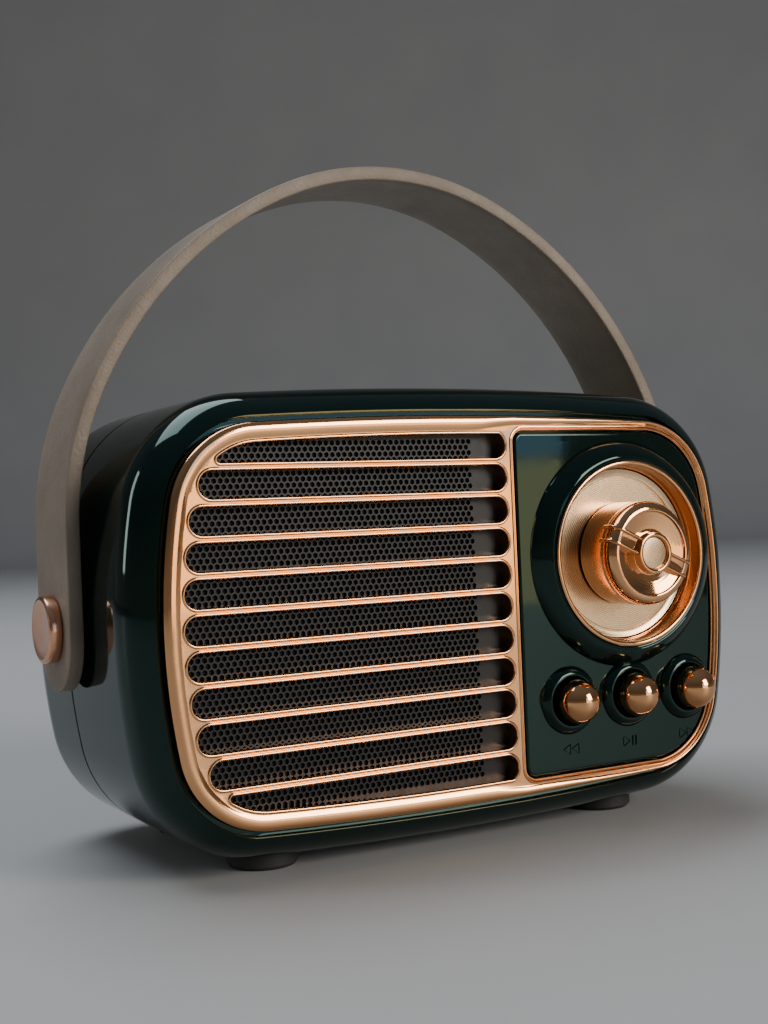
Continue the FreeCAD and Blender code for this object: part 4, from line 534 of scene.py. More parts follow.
def speaker_mesh():
    """A sheet with staggered six-sided holes, left plain beyond the last column."""
    skin = Skin()
    front, back = SHEET.front, SHEET.back
    row = HOLE_PITCH * math.sqrt(0.75)
    cell = HOLE_PITCH / math.sqrt(3)
    corners, cells = {}, []

    def corner(x, y, depth):
        key = (round(x, 2), round(y, 2), depth)
        if key not in corners:
            corners[key] = len(skin.points)
            skin.points.append((x, y, depth))
        return corners[key]

    rows = int(SHEET.high / row) - 1
    for number in range(-rows, rows + 1):
        shift = HOLE_PITCH / 2 * (number % 2)
        for column in range(int((HOLES_RIGHT - SHEET.left) / HOLE_PITCH) - 1):
            x, y = HOLES_RIGHT - shift - column * HOLE_PITCH, number * row
            if in_outline(x, y, BEZEL_MARGIN + HOLES_MARGIN):
                cells.append((x, y))
    for x, y in cells:
        rings = []
        for depth in (front, back):
            around = [corner(x + cell * math.cos(a), y + cell * math.sin(a), depth)
                      for a in (math.radians(60 * k + 30) for k in range(6))]
            hole = skin.ring(arc((x, y), HOLE_RADIUS, math.radians(30), math.radians(390), 6),
                             0, depth)
            skin.bridge(around, hole)
            rings.append(hole)
        skin.bridge(*rings)
    border = region(BEZEL_MARGIN + SHEET_MARGIN, SHEET.left, SHEET.right, SHEET.low, SHEET.high,
                    0.2)
    first, last = skin.wall(border, [(0, front), (0, back)])
    for ring, depth in ((first, front), (last, back)):
        skin.fill(ring, [open_edge(skin, corners, depth)])
    finished(skin.piece("grille_sheet"), [mesh_black], "case", ["speaker_mesh"],
             weighted=False)


def in_outline(x, y, offset):
    """Whether a point lies inside the case outline moved in by offset."""
    return all((x - px) * nx + (y - py) * ny < -offset for px, py, nx, ny in OUTLINE)


def open_edge(skin, corners, depth):
    """The ring of points round the outermost cells at one depth, in order."""
    members = {index for key, index in corners.items() if key[2] == depth}
    sides = {}
    for face in skin.faces:
        for a, b in zip(face, face[1:] + face[:1]):
            if a in members and b in members:
                side = (min(a, b), max(a, b))
                sides[side] = sides.get(side, 0) + 1
    after = {}
    for (a, b), count in sides.items():
        if count == 1:
            after.setdefault(a, []).append(b)
            after.setdefault(b, []).append(a)
    start = min(after)
    ring, last = [start], start
    here = after[start][0]
    while here != start:
        ring.append(here)
        last, here = here, next(p for p in after[here] if p != last)
    return ring


# ---------------- control panel and dial

# Turned rings, (radius, height above the panel's face).
COLLAR = [(15.2, 0), (15.17, 0.06), (15.07, 0.26), (14.9, 0.53), (14.67, 0.8), (14.4, 1.08),
          (14.05, 1.35), (13.7, 1.58), (13.35, 1.77), (13.05, 1.9), (12.9, 1.94), (12.84, 1.92),
          (12.8, 1.84), (12.74, 1.84), (12.7, 1.93), (12.62, 1.97), (12.53, 1.95), (12.5, 1.85)]
SOCKET = [(4.5, 0), (4.47, 0.09), (4.34, 0.3), (4.15, 0.54), (3.93, 0.75), (3.7, 0.9),
          (3.5, 0.97), (3.34, 0.96), (3.23, 0.88), (3.16, 0.74)]
CRATER = [(3.12, 0.6), (3.06, 0.4), (2.97, 0.15), (2.85, -0.12), (2.7, -0.38), (2.54, -0.6)]
PANEL_FACE, PANEL_ROUND, PANEL_GAP = 0.3, 0.4, 0.2    # depth, edge radius, gap to the bezel
TRIM, FOOT_SETBACK = 0.22, 0.3    # how far raised rings stay off the panel's edge and back


def raised(x, y, profile):
    """A turned ring standing through the panel, from (radius, height above its face) pairs."""
    foot = PANEL.back - FOOT_SETBACK
    pairs = [(profile[0][0], foot)] + [(r, PANEL_FACE - h) for r, h in profile]
    pairs.append((profile[-1][0], foot))
    return solid(lambda skin: skin.lathe(x, y, pairs, 128))


SYMBOL_DEPTH, SYMBOL_DROP = 0.16, 6.44    # how deep, and how far below the keys
BAR = 0.26, 1.34, 0.05                    # width, height and corner radius of a bar


def symbol_cutters():
    """Grooves of the rewind, play and forward marks: outlined triangles and bars."""
    tall, wide, line = 1.04, 0.88, 0.15
    deep = PANEL_FACE + SYMBOL_DEPTH
    middle = KEYS["play"].y - SYMBOL_DROP
    marks = []
    for key, spots in (("previous", ((-0.2, -1), (1.15, -1))), ("next", ((0.2, 1), (-1.15, 1))),
                       ("play", ((-1.1, 1),))):
        for shift, way in spots:
            x = KEYS[key].x + shift
            corners = [(x, middle - tall / 2), (x + way * wide, middle), (x, middle + tall / 2)]
            marks.append(corners if way > 0 else corners[::-1])
    cutters = []
    for corners in marks:
        loop = grown(corners, 0.02)
        cutters.append(solid(lambda skin: skin.wall(
            loop, [(line, deep), (line, -1), (0, -1), (0, deep)], closed=True)))
    for step in (0.4, 0.95):
        loop = rectangle(KEYS["play"].x + step, middle, *BAR)
        cutters.append(solid(lambda skin: skin.block(loop, [(0, deep), (0, -1)])))
    return cutters


ODD_START, ODD_COUNT = 0.013, 101    # keep a hole's points off those of the ring around it
DIAL_HOLE_PLAY = 0.15


def control_panel():
    """The glossy panel: a plate with the dial's collar and the key sockets standing on it."""
    loop = panel_opening(PANEL_GAP)

    def plate(skin):
        edge = bend((-PANEL_ROUND, PANEL_FACE + PANEL_ROUND), PANEL_ROUND, 0, -90, 7)
        first, last = skin.wall(loop, [(0, PANEL.back)] + edge)
        holes = [(RING.x, RING.y, COLLAR[-1][0] + DIAL_HOLE_PLAY)]
        holes += [(key.x, key.y, SOCKET[-1][0]) for key in KEYS.values()]
        skin.ends(first, last, [
            skin.wall(arc((x, y), r, ODD_START, ODD_START + 2 * math.pi, ODD_COUNT),
                      [(0, PANEL.back), (0, PANEL_FACE)]) for x, y, r in holes])

    base = solid(plate)
    features = [raised(RING.x, RING.y, COLLAR)]
    features += [raised(key.x, key.y, SOCKET + CRATER) for key in KEYS.values()]
    keep = solid(lambda skin: skin.block(loop, [(-TRIM, PANEL.back + 1), (-TRIM, -5.0)]))
    piece = combined(base, trimmed(features, keep), symbol_cutters())
    bpy.data.objects.remove(keep)
    piece.name = "panel_gloss"
    finished(piece, [gloss_green], "case", ["control_panel"], sharp=24)


def turned_piece(name, x, y, profile, materials, body, nodes, count, sharp=32.0):
    skin = Skin()
    skin.lathe(x, y, profile, count)
    middle = spot(x, y, 0)
    mesh = skin.mesh(name)
    mesh.transform(Matrix.Translation(-middle))
    piece = add_object(name, mesh)
    piece.location = middle
    finished(piece, materials, body, nodes, sharp)


def dial():
    """The plated ring round the dial and the spun plate inside it."""
    outer, back = RING.radius, RING.back
    ring = [(outer, back), (outer, -1.62), (12.4, -1.78), (12.28, -1.87), (12.1, -1.9),
            (11.95, -1.86), (11.83, -1.76), (11.76, -1.6), (11.66, -0.2), (11.62, 0.35),
            (11.56, 0.42), (11.5, 0.42), (11.5, back)]
    turned_piece("dial_trim", RING.x, RING.y, ring, [rose_gold], "case", ["dial_ring"],
                 160)
    rim = PLATE.radius
    front, floor = PLATE.front, PLATE.back
    plate = [(3.2, floor), (3.2, front), (10.3, front), (10.36, front + 0.05),
             (10.46, front + 0.05), (10.52, front), (11.0, front - 0.02), (11.2, front - 0.14),
             (11.3, front - 0.16), (rim - 0.04, front - 0.1), (rim, front), (rim, floor)]
    turned_piece("dial_disc", RING.x, RING.y, plate, [spun_champagne], "case", ["dial_plate"],
                 160)


# ---------------- knob

KNOB_FACE = -6.0             # depth of the knob's flat rim
POINTER_ANGLE = 156.0        # degrees, toward the upper left
RAIL, CHANNEL, RAIL_RISE = 0.42, 1.5, 0.35    # the pointer's two rails and what lies between
RIM_REACH, RIM_DROP = 1.15, 1.6    # the knob's rounded rim, across and back
DISH_STEPS, DISH_OUTER, DISH_REACH, DISH_DEPTH = 40, 5.4, 2.55, 0.34
RIPPLE, RIPPLE_STEPS = 0.002, 8    # height of the dish's turning marks, and steps in one
KNOB_BORE = 3.02, -3.95            # radius, and the depth where it ends
# (inward from the side, back from the face), then twice (radius, back from the face).
KNOB_GROOVE = [(0, 2.35), (0.05, 2.3), (0.13, 2.27), (0.13, 2.2), (0.03, 2.14), (0, 2.05)]
DISH_EDGE = [(5.62, 0), (5.54, 0.03), (5.5, 0.12), (5.46, 0.26)]
HUB = [(2.74, 0.6), (2.7, 0.5), (2.7, -0.48), (2.66, -0.56), (2.58, -0.6), (2.28, -0.6),
       (2.2, -0.57), (2.15, -0.5), (2.15, 0.5), (0, 0.5)]


def volume_knob():
    """The turned knob: side with a groove, rounded rim, dished face and raised hub."""
    radius, back, face = KNOB.radius, KNOB.back, KNOB_FACE
    bore, floor = KNOB_BORE
    profile = [(0, floor), (bore, floor), (bore, back), (radius - 0.25, back),
               (radius - 0.05, back - 0.1), (radius, back - 0.3)]
    profile += [(radius - inward, face + down) for inward, down in KNOB_GROOVE]
    profile += [(radius + RIM_REACH * (math.cos(a) - 1), face + RIM_DROP * (1 - math.sin(a)))
                for a in (math.radians(10 * k) for k in range(1, 10))]
    profile += [(reach, face + down) for reach, down in DISH_EDGE]
    for step in range(DISH_STEPS + 1):
        share = step / DISH_STEPS
        ripple = RIPPLE * math.sin(step * 2 * math.pi / RIPPLE_STEPS)
        sink = DISH_DEPTH * math.sin(math.pi / 2 * share) + ripple
        profile.append((DISH_OUTER - DISH_REACH * share, face + 0.3 + sink))
    profile += [(reach, face + down) for reach, down in HUB]
    turned_piece("knob_body", KNOB.x, KNOB.y, profile, [rose_gold_knob], "knob",
                 ["volume_knob"], 160, 40)
    disc = [(0, DISC.back), (DISC.radius, DISC.back), (DISC.radius, DISC.front + 0.12),
            (DISC.radius - 0.1, DISC.front + 0.02), (1.5, DISC.front - 0.03),
            (0.8, DISC.front - 0.05), (0, DISC.front - 0.055)]
    turned_piece("knob_disc", KNOB.x, KNOB.y, disc, [spun_champagne], "knob",
                 ["knob_centre_disc"], 96)


def rail_section(tall):
    """Half of the pointer's section: (across, height) from the channel's middle to its foot."""
    inner, outer = CHANNEL / 2, CHANNEL / 2 + RAIL
    return [(0, -0.1), (inner - 0.06, -0.1), (inner, -0.04), (inner, tall - 0.12),
            (inner + 0.05, tall - 0.04), (inner + 0.12, tall), (outer - 0.12, tall),
            (outer - 0.05, tall - 0.04), (outer, tall - 0.12), (outer, -0.9)]


def pointer_arm(skin, path, way):
    """One arm of the pointer along (reach, depth, normal reach, normal depth, height) stations."""
    rings = []
    a = math.radians(POINTER_ANGLE)
    for reach, depth, nr, nd, tall in path:
        half, points = rail_section(tall), []
        for across, height in half + [(-v, h) for v, h in reversed(half)][:-1]:
            u, d = (reach + nr * height) * way, depth + nd * height
            points.append((KNOB.x + u * math.cos(a) - across * math.sin(a),
                           KNOB.y + u * math.sin(a) + across * math.cos(a), d))
        rings.append(skin.row(points))
    for one, two in zip(rings, rings[1:]):
        skin.bridge(one, two)
    for ring in (rings[0], rings[-1]):
        skin.add(*ring)


def knob_pointer():
    """Two arms: one wraps over the rim and down the side, the other ends at the rim."""
    skin = Skin()
    face, radius = KNOB_FACE, KNOB.radius
    turn = 1.2
    over = [(radius - turn + turn * math.cos(b), face + turn - turn * math.sin(b),
             math.cos(b), -math.sin(b)) for b in (math.radians(9 * k) for k in range(11))]
    tall = RAIL_RISE
    down = [(radius, face + 2.7, 1, 0, 0.02), (radius, face + 2.5, 1, 0, 0.22),
            (radius, face + 2.2, 1, 0, tall - 0.02)]
    arm = down + [(r, d, nr, nd, tall) for r, d, nr, nd in over]
    arm += [(4.2, face, 0, -1, tall), (2.6, face, 0, -1, tall)]
    pointer_arm(skin, arm, 1)
    short = [(6.45, face + 0.35, 0.5, -0.87, 0.05), (6.15, face + 0.16, 0.35, -0.94, 0.24),
             (5.75, face + 0.02, 0.1, -1, tall), (4.2, face, 0, -1, tall),
             (2.6, face, 0, -1, tall)]
    pointer_arm(skin, short, -1)
    finished(skin.piece("pointer"), [rose_gold_knob], "knob", ["knob_pointer"],
             sharp=50)


def keys():
    """Three ball keys on their necks, with the stem behind."""
    ball, neck, flange, stem = 2.88, 2.3, 3.3, 1.5
    for name, box in KEYS.items():
        centre = box.front + ball
        meet = math.degrees(math.asin(neck / ball))
        profile = [(0, box.front)]
        profile += [(ball * math.sin(b), centre - ball * math.cos(b))
                    for b in (math.radians((180 - meet) * k / 30) for k in range(1, 31))]
        profile += [(neck, 4.5), (flange, 4.5), (flange, 5.3), (stem, 5.3), (stem, box.back),
                    (0, box.back)]
        turned_piece(name + "_button", box.x, box.y, profile, [rose_gold_knob],
                     name + "_key_unit", [name + "_key"], 96)


# ---------------- strap and its screws


STRAP_THICK, STRAP_EDGE, PIVOT_HOLE = 1.8, 0.22, 2.06
TAIL_STEPS, STRAIGHT_STEPS, BEND_STEPS, SHOULDER_STEPS = 12, 14, 14, 26
FACE_BAND = 0.12    # how near a face of the section counts as that face


def leather_strap():
    """The strap: a band swept over its arch, with rounded tails and a hole for each screw."""
    thick = STRAP_THICK
    reach = STRAP.right - thick / 2
    tip = (STRAP.back - STRAP.front) / 2
    base = STRAP.high - thick / 2 - reach
    bend_radius, turn = 40.0, math.radians(25)
    shoulder = bend_radius + (reach - bend_radius) / (math.cos(turn) - math.sin(turn))
    shift = (bend_radius - shoulder) * math.sin(turn)
    quarter = math.pi / 2
    low = STRAP.low + tip
    stations = []
    for k in range(1, TAIL_STEPS + 1):
        b = quarter * k / TAIL_STEPS
        stations.append((reach, low - tip * math.cos(b), 1, 0, tip * math.sin(b)))
    for k in range(1, STRAIGHT_STEPS):
        stations.append((reach, low + (base - low) * k / STRAIGHT_STEPS, 1, 0, tip))
    for (cx, cy), radius, start, end, count in (
            ((reach - bend_radius, 0), bend_radius, 0, turn, BEND_STEPS),
            ((shift, shift), shoulder, turn, quarter - turn, SHOULDER_STEPS),
            ((0, reach - bend_radius), bend_radius, quarter - turn, quarter, BEND_STEPS)):
        for x, y, nx, ny in arc((cx, cy + base), radius, start, end, count):
            stations.append((x, y, nx, ny, tip))
    left = [(-x, y, -nx, ny, half) for x, y, nx, ny, half in reversed(stations)]
    stations.append((0, base + reach, 0, 1, tip))
    stations += left
    skin = Skin()
    rings = [skin.row((x + nx * height, y + ny * height, STRAP.depth + across)
                      for across, height in strap_section(half, thick))
             for x, y, nx, ny, half in stations]
    sides = strap_section(tip, thick)
    for one, two in zip(rings, rings[1:]):
        for i in range(len(one)):
            j = (i + 1) % len(one)
            heights = (sides[i][1] + sides[j][1]) / 2
            outer = heights > thick / 2 - FACE_BAND
            skin.ink = 0 if outer else 2 if heights < FACE_BAND - thick / 2 else 1
            skin.add(one[i], one[j], two[j], two[i])
    skin.ink = 1
    for ring in (rings[0], rings[-1]):
        skin.add(*ring)
    piece = skin.piece("strap")
    holes = []
    for side in (-1, 1):
        cutter = Skin()
        cutter.lathe(0, 0, [(0, -5), (PIVOT_HOLE, -5), (PIVOT_HOLE, 5), (0, 5)], 48)
        holes.append(cutter.piece("hole", lambda a, b, c: spot(side * reach + c, SCREWS.y + a,
                                                               SCREWS.depth + b)))
    combined(piece, removed=holes)
    finished(piece, [leather_face, suede_edge, suede_back], "handle", ["leather_strap"],
             sharp=50, weighted=False)


def strap_section(half, thick):
    """The strap's section, (across, height): flat faces with slightly rounded cut edges."""
    edge, t, count = STRAP_EDGE, thick / 2, 9
    flat = max(half - edge, 0.02)
    top = [(flat - 2 * flat * k / count, t) for k in range(count + 1)]
    side = [(-flat - edge * 0.7 * min(1, half), t - edge * 0.3), (-half, t - edge),
            (-half, 0), (-half, edge - t), (-flat - edge * 0.7 * min(1, half), edge * 0.3 - t)]
    return top + side + [(-v, -h) for v, h in top] + [(-v, -h) for v, h in side]


HEAD_RISE = 1.65
HEAD_EDGE = [(0.6, 0.03), (0.46, 0), (0.32, 0.01), (0.15, 0.08), (0.04, 0.2), (0, 0.38)]


def strap_screws():
    """A flat turned screw head at each end of the strap, with its shoulder and thread."""
    head, outer, wall = SCREWS.high - SCREWS.y, SCREWS.right, CASE.right
    seat, shoulder, thread = outer - HEAD_RISE, 2.0, 1.25
    profile = [(0, outer - 0.16), (1.2, outer - 0.13), (2.4, outer - 0.08)]
    profile += [(head - inward, outer - down) for inward, down in HEAD_EDGE]
    profile += [(head, seat + 0.3), (head - 0.05, seat + 0.12), (head - 0.2, seat),
                (shoulder, seat), (shoulder, wall), (thread, wall), (thread, wall - 5),
                (0, wall - 5)]
    for side, name in ((-1, "screw_left"), (1, "screw_right")):
        skin = Skin()
        skin.lathe(0, 0, profile, 96)
        piece = skin.piece(name, lambda x, y, out: Vector((x, -out, y)) * MM)
        piece.location = spot(0, SCREWS.y, SCREWS.depth)
        piece.rotation_euler.z = side * math.pi / 2
        finished(piece, [turned_gold], "case", ["strap_screws"], sharp=25)


# ---------------- material helpers


def blank_material(name, color, roughness, metallic=0.0):
    material = bpy.data.materials.new(name)
    material.use_nodes = True
    tree = material.node_tree
    shader = tree.nodes["Principled BSDF"]
    shader.inputs["Base Color"].default_value = (*color, 1)
    shader.inputs["Roughness"].default_value = roughness
    shader.inputs["Metallic"].default_value = metallic
    return material, tree, shader


def made(tree, kind, **values):
    """A new node with some inputs set; an underscore stands for a space in their names."""
    node = tree.nodes.new("ShaderNode" + kind)
    for name, value in values.items():
        node.inputs[name.replace("_", " ")].default_value = value
    return node


def place_node(tree):
    return made(tree, "TexCoord").outputs["Object"]


def axes(tree, place):
    """The X, Y and Z outputs of a place."""
    split = made(tree, "SeparateXYZ")
    tree.links.new(place, split.inputs[0])
    return split.outputs


def noise(tree, scale, detail=3.0, roughness=0.5):
    node = made(tree, "TexNoise", Scale=scale, Detail=detail, Roughness=roughness)
    tree.links.new(place_node(tree), node.inputs["Vector"])
    return node.outputs["Fac"]


def cells(tree, scale):
    node = made(tree, "TexVoronoi", Scale=scale)
    tree.links.new(place_node(tree), node.inputs["Vector"])
    return node.outputs["Distance"]


def mapped(tree, value, low, high, start=0.0, end=1.0):
    node = made(tree, "MapRange", From_Min=start, From_Max=end, To_Min=low, To_Max=high)
    tree.links.new(value, node.inputs["Value"])
    return node.outputs["Result"]


def figure(tree, operation, first, second=0.0):
    """A maths node's result; each input is a number or another node's output."""
    node = made(tree, "Math")
    node.operation = operation
    for socket, value in zip(node.inputs, (first, second)):
        if isinstance(value, (int, float)):
            socket.default_value = value
        else:
            tree.links.new(value, socket)
    return node.outputs["Value"]


def mix_color(tree, shader, factor, first, second):
    node = made(tree, "Mix")
    node.data_type = "RGBA"
    for name, value in (("A", first), ("B", second)):
        if isinstance(value, tuple):
            node.inputs[name].default_value = (*value, 1)
        else:
            tree.links.new(value, node.inputs[name])
    tree.links.new(factor, node.inputs["Factor"])
    result = [s for s in node.outputs if s.type == "RGBA"][0]
    tree.links.new(result, shader.inputs["Base Color"])


def gloss(tree, shader, value, *limits):
    """Roughness between two limits as a value goes from a start to an end."""
    tree.links.new(mapped(tree, value, *limits), shader.inputs["Roughness"])


def bump(tree, shader, height, strength, distance):
    node = made(tree, "Bump", Strength=strength, Distance=distance)
    tree.links.new(height, node.inputs["Height"])
    tree.links.new(node.outputs["Normal"], shader.inputs["Normal"])


def radius_node(tree):
    """Distance from the turned piece's own axis, which runs front to back."""
    place = axes(tree, place_node(tree))
    across, up = (figure(tree, "POWER", place[axis], 2.0) for axis in "XZ")
    return figure(tree, "SQRT", figure(tree, "ADD", across, up))


def make_gloss_green():
    material, tree, shader = blank_material("gloss_green", (0.0015, 0.006, 0.005), 0.06)
    mix_color(tree, shader, noise(tree, 60.0), (0.0010, 0.005, 0.0042), (0.0018, 0.0075, 0.0062))
    gloss(tree, shader, noise(tree, 240.0, 5.0, 0.6), 0.03, 0.09, 0.35, 0.75)
    bump(tree, shader, noise(tree, 700.0, 2.0), 0.02, 0.00005)
    shader.inputs["Specular IOR Level"].default_value = 0.45
    shader.inputs["Specular Tint"].default_value = (0.62, 1.0, 0.9, 1)
    return material


def make_rose_gold(name, roughness):
    material, tree, shader = blank_material(name, (0.84, 0.44, 0.22), roughness, 1.0)
    mix_color(tree, shader, noise(tree, 180.0), (0.78, 0.385, 0.175), (0.86, 0.46, 0.225))
    gloss(tree, shader, noise(tree, 500.0, 5.0), roughness * 0.7, roughness * 1.4, 0.3, 0.7)
    bump(tree, shader, noise(tree, 220.0, 1.0), 0.04, 0.00008)
    return material


def make_spun(name, first, second, roughness, pitch):
    """Spun metal: fine rings about the piece's own axis."""
    material, tree, shader = blank_material(name, first, roughness, 1.0)
    rings = figure(tree, "MULTIPLY", radius_node(tree), 2 * math.pi / pitch)
    wave = figure(tree, "SINE", rings)
    mix_color(tree, shader, noise(tree, 900.0, 2.0), first, second)
    gloss(tree, shader, wave, roughness * 0.92, roughness * 1.1, -1, 1)
    bump(tree, shader, wave, 0.025, 0.00002)
    return material


def make_mesh_black():
    material, tree, shader = blank_material("satin_black", (0.006, 0.006, 0.006), 0.5)
    mix_color(tree, shader, noise(tree, 400.0), (0.005, 0.005, 0.005), (0.011, 0.010, 0.009))
    shader.inputs["Specular IOR Level"].default_value = 0.35
    gloss(tree, shader, noise(tree, 1500.0, 4.0), 0.3, 0.5)
    bump(tree, shader, noise(tree, 6000.0, 2.0), 0.15, 0.00002)
    return material


def make_leather_face():
    material, tree, shader = blank_material("leather_face", (0.24, 0.19, 0.145), 0.55)
    cloud = noise(tree, 70.0, 4.0, 0.6)
    mix_color(tree, shader, mapped(tree, cloud, 0, 1, 0.3, 0.7), (0.20, 0.155, 0.115),
              (0.29, 0.232, 0.18))
    pores = cells(tree, 2300.0)
    grain = figure(tree, "ADD", figure(tree, "MULTIPLY", pores, 0.8), noise(tree, 900.0, 5.0, 0.65))
    bump(tree, shader, grain, 0.35, 0.00012)
    gloss(tree, shader, noise(tree, 400.0, 4.0), 0.42, 0.68)
    return material


def make_suede(name, first, second, scale):
    material, tree, shader = blank_material(name, first, 0.95)
    nap = noise(tree, scale, 8.0, 0.75)
    mix_color(tree, shader, mapped(tree, nap, 0, 1, 0.35, 0.65), first, second)
    bump(tree, shader, nap, 0.8, 0.0003)
    shader.inputs["Sheen Weight"].default_value = 0.5
    shader.inputs["Sheen Roughness"].default_value = 0.4
    return material


def make_plain(name, color, roughness, metallic, grain, relief, spread=0.12):
    """A moulded, cast or painted finish: slight colour variation, uneven gloss, fine grain."""
    material, tree, shader = blank_material(name, color, roughness, metallic)
    darker = tuple(c * (1 - spread) for c in color)
    lighter = tuple(min(1.0, c * (1 + spread)) for c in color)
    mix_color(tree, shader, noise(tree, grain / 4), darker, lighter)
    gloss(tree, shader, noise(tree, grain, 4.0), roughness * 0.85, roughness * 1.15)
    bump(tree, shader, noise(tree, grain * 2, 3.0), relief, 0.00004)
    return material


THREAD_PITCH = 0.0004    # metres


def make_woven(name, color):
    """Plain woven cloth: two crossed sets of threads."""
    material, tree, shader = blank_material(name, color, 0.9)
    place, threads = axes(tree, place_node(tree)), 2 * math.pi / THREAD_PITCH
    across, up = (figure(tree, "SINE", figure(tree, "MULTIPLY", place[axis], threads))
                  for axis in "XZ")
    weave = figure(tree, "MULTIPLY", across, up)
    lighter = tuple(c * 1.8 for c in color)
    mix_color(tree, shader, mapped(tree, weave, 0, 1, -1, 1), color, lighter)
    bump(tree, shader, weave, 0.5, 0.0001)
    return material


def slot_materials():
    """One material for each slot of the record, for the CAD nodes that stay."""
    colors = {s["slot"]: tuple(s["base_color"][:3]) for s in frame["record"]["materials"]}
    table = {"case_plastic": gloss_green, "rose_gold_plating": rose_gold,
             "rose_gold_screw": turned_gold, "champagne_disc": spun_champagne,
             "mesh_black": mesh_black, "strap_leather": leather_face, "rubber_black": rubber,
             "cloth_black": make_woven("acoustic_cloth", colors["cloth_black"])}
    finishes = {"board_green": (0.35, 0, 300, 0.1), "part_black": (0.5, 0, 900, 0.2),
                "part_ivory": (0.45, 0, 900, 0.1), "steel_plain": (0.25, 1, 2500, 0.15),
                "basket_black": (0.3, 0.3, 1500, 0.2), "ferrite_grey": (0.6, 0.2, 2500, 0.4),
                "cone_paper": (0.8, 0, 2500, 0.6), "copper_wire": (0.3, 1, 3000, 0.4),
                "cell_silver": (0.35, 0.9, 400, 0.6), "foam_grey": (0.95, 0, 1800, 0.9),
                "lead_red": (0.4, 0, 600, 0.1), "lamp_clear": (0.15, 0, 400, 0.05),
                "brass_insert": (0.3, 1, 2000, 0.2)}
    for slot, values in finishes.items():    # roughness, metallic, grain, relief
        table[slot] = make_plain("finish_" + slot, colors[slot], *values)
    for node in frame["nodes"].values():
        for place in node.material_slots:
            place.material = table[place.material.name.split(".")[0]]


# ---------------- camera, stage and light

CAMERA_PLACE = Vector((-0.09513, -0.16498, 0.04150))
CAMERA_YAW, CAMERA_PITCH, CAMERA_ROLL = 0.5158, 0.0059, -0.0423
CAMERA_LENS, CAMERA_SENSOR = 48.42, 36.0


def make_camera():
    yaw, pitch = CAMERA_YAW, CAMERA_PITCH
    ahead = Vector((math.sin(yaw) * math.cos(pitch), math.cos(yaw) * math.cos(pitch),
                    math.sin(pitch)))
    right = Vector((math.cos(yaw), -math.sin(yaw), 0))
    up = right.cross(ahead)
    c, s = math.cos(CAMERA_ROLL), math.sin(CAMERA_ROLL)
    side, top = c * right + s * up, c * up - s * right
    data = bpy.data.cameras.new("camera")
    data.lens = CAMERA_LENS
    data.sensor_width = CAMERA_SENSOR
    data.clip_start = 0.005
    data.clip_end = 20.0
    camera = add_object("camera", data)
    turn = Matrix((side, top, -ahead)).transposed()
    camera.matrix_world = Matrix.Translation(CAMERA_PLACE) @ turn.to_4x4()
    bpy.context.scene.camera = camera


def area_light(name, place, aim, width, height, power, color):
    data = bpy.data.lights.new(name, "AREA")
    data.shape = "RECTANGLE"
    data.size, data.size_y = width, height
    data.energy = power
    data.color = color
    lamp = add_object(name, data)
    lamp.location = place
    lamp.rotation_euler = (Vector(aim) - Vector(place)).to_track_quat("-Z", "Y").to_euler()
    lamp.visible_camera = False


def make_lights():
    aim = (0, 0, 0.04)
    area_light("window", (0.62, -1.10, 0.50), aim, 0.5, 0.6, 12.0, (1.0, 0.92, 0.80))
    area_light("overhead", (-0.15, 0.30, 0.9), aim, 0.9, 0.45, 6.5, (0.88, 0.94, 1.0))
    area_light("side", (-0.9, 0.45, 0.35), aim, 0.12, 0.5, 1.2, (1.0, 0.98, 0.95))
    angle = math.radians(22)
    far = (3 * math.sin(angle), -3 * math.cos(angle))
    area_light("low_window", (*far, -0.055), (0, 0, -0.055), 1.6, 0.45, 6.5, (1.0, 0.72, 0.42))
    area_light("high_window", (*far, 0.64), (0, 0, 0.64), 1.6, 0.93, 9.0, (0.45, 0.66, 1.0))


ROOM_STOPS = [(-1.0, (0.03, 0.03, 0.03)), (-0.1, (0.05, 0.045, 0.04)),
              (-0.02, (0.15, 0.135, 0.115)), (0.04, (0.15, 0.14, 0.125)),
              (0.2, (0.07, 0.073, 0.076)), (1.0, (0.14, 0.16, 0.19))]


def make_world():
    """A dim plain room, a little lighter along the horizon."""
    world = bpy.data.worlds.new("studio")
    bpy.context.scene.world = world
    world.use_nodes = True
    tree = world.node_tree
    tree.nodes.clear()
    height = axes(tree, made(tree, "TexCoord").outputs["Generated"])["Z"]
    ramp = made(tree, "ValToRGB")
    tree.links.new(mapped(tree, height, 0, 1, -1, 1), ramp.inputs[0])
    elements = ramp.color_ramp.elements
    while len(elements) < len(ROOM_STOPS):
        elements.new(0.5)
    for element, (level, color) in zip(elements, ROOM_STOPS):
        element.position, element.color = (level + 1) / 2, (*color, 1)
    back = made(tree, "Background")
    tree.links.new(ramp.outputs["Color"], back.inputs["Color"])
    out = made(tree, "OutputWorld")
    tree.links.new(back.outputs[0], out.inputs["Surface"])


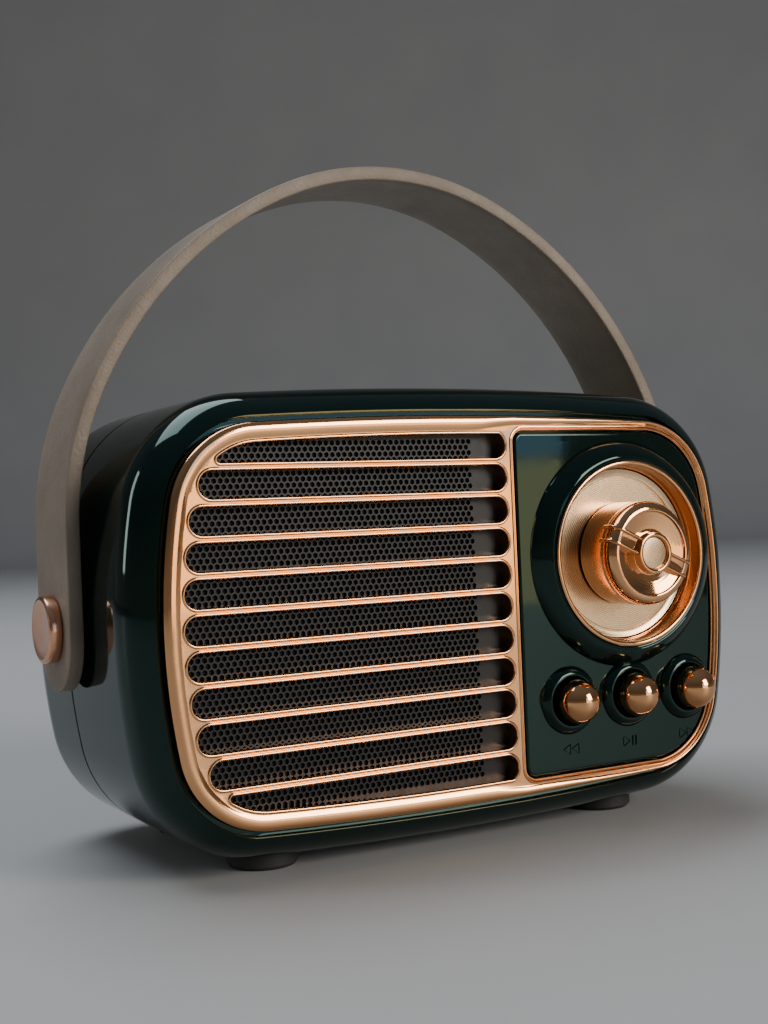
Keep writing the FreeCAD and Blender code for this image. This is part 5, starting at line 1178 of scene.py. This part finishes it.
TABLE_REACH, TABLE_SLANT = 0.55, 0.52    # where the table top ends on the right, and its slant


def make_stage():
    """A pale table top that sweeps up into a backdrop and ends on the window's side."""
    left, front, turn_at, sweep, top = -3.0, -0.75, 1.6, 0.5, 2.6
    profile = [(front, 0.0), (turn_at, 0.0)]
    profile += [(turn_at + x, sweep + z) for x, z in bend((0, 0), sweep, -90, 0, 16)]
    profile.append((turn_at + sweep, top))
    verts = [(x, y, z) for y, z in profile for x in (left, TABLE_REACH + TABLE_SLANT * y)]
    faces = [(2 * i, 2 * i + 1, 2 * i + 3, 2 * i + 2) for i in range(len(profile) - 1)]
    mesh = bpy.data.meshes.new("stage")
    mesh.from_pydata(verts, [], faces)
    mesh.shade_smooth()
    floor = add_object("stage", mesh)
    floor.rotation_euler.z = -CAMERA_YAW
    material, tree, shader = blank_material("stage_paper", (0.5, 0.5, 0.49), 0.6)
    mix_color(tree, shader, noise(tree, 9.0, 4.0), (0.40, 0.405, 0.41), (0.47, 0.47, 0.465))
    mesh.materials.append(material)


# ---------------- materials of the pieces

gloss_green = make_gloss_green()
rose_gold = make_rose_gold("rose_gold", 0.10)
rose_gold_knob = make_rose_gold("rose_gold_knob", 0.07)
turned_gold = make_spun("turned_gold", (0.74, 0.38, 0.23), (0.86, 0.47, 0.31), 0.2, 0.00018)
spun_champagne = make_spun("spun_champagne", (0.64, 0.44, 0.26), (0.74, 0.54, 0.34), 0.26, 0.00026)
mesh_black = make_mesh_black()
leather_face = make_leather_face()
suede_edge = make_suede("suede_edge", (0.28, 0.225, 0.17), (0.56, 0.48, 0.38), 1500.0)
suede_back = make_suede("suede_back", (0.16, 0.115, 0.085), (0.26, 0.20, 0.155), 1100.0)
rubber = make_plain("rubber", (0.02, 0.02, 0.02), 0.7, 0.0, 1500.0, 0.3)

# ---------------- the whole scene

make_camera()
make_world()
make_lights()
make_stage()
slot_materials()
front_shell()
rear_shell()
rubber_feet()
grille_bezel()
speaker_mesh()
control_panel()
dial()
volume_knob()
knob_pointer()
keys()
leather_strap()
strap_screws()
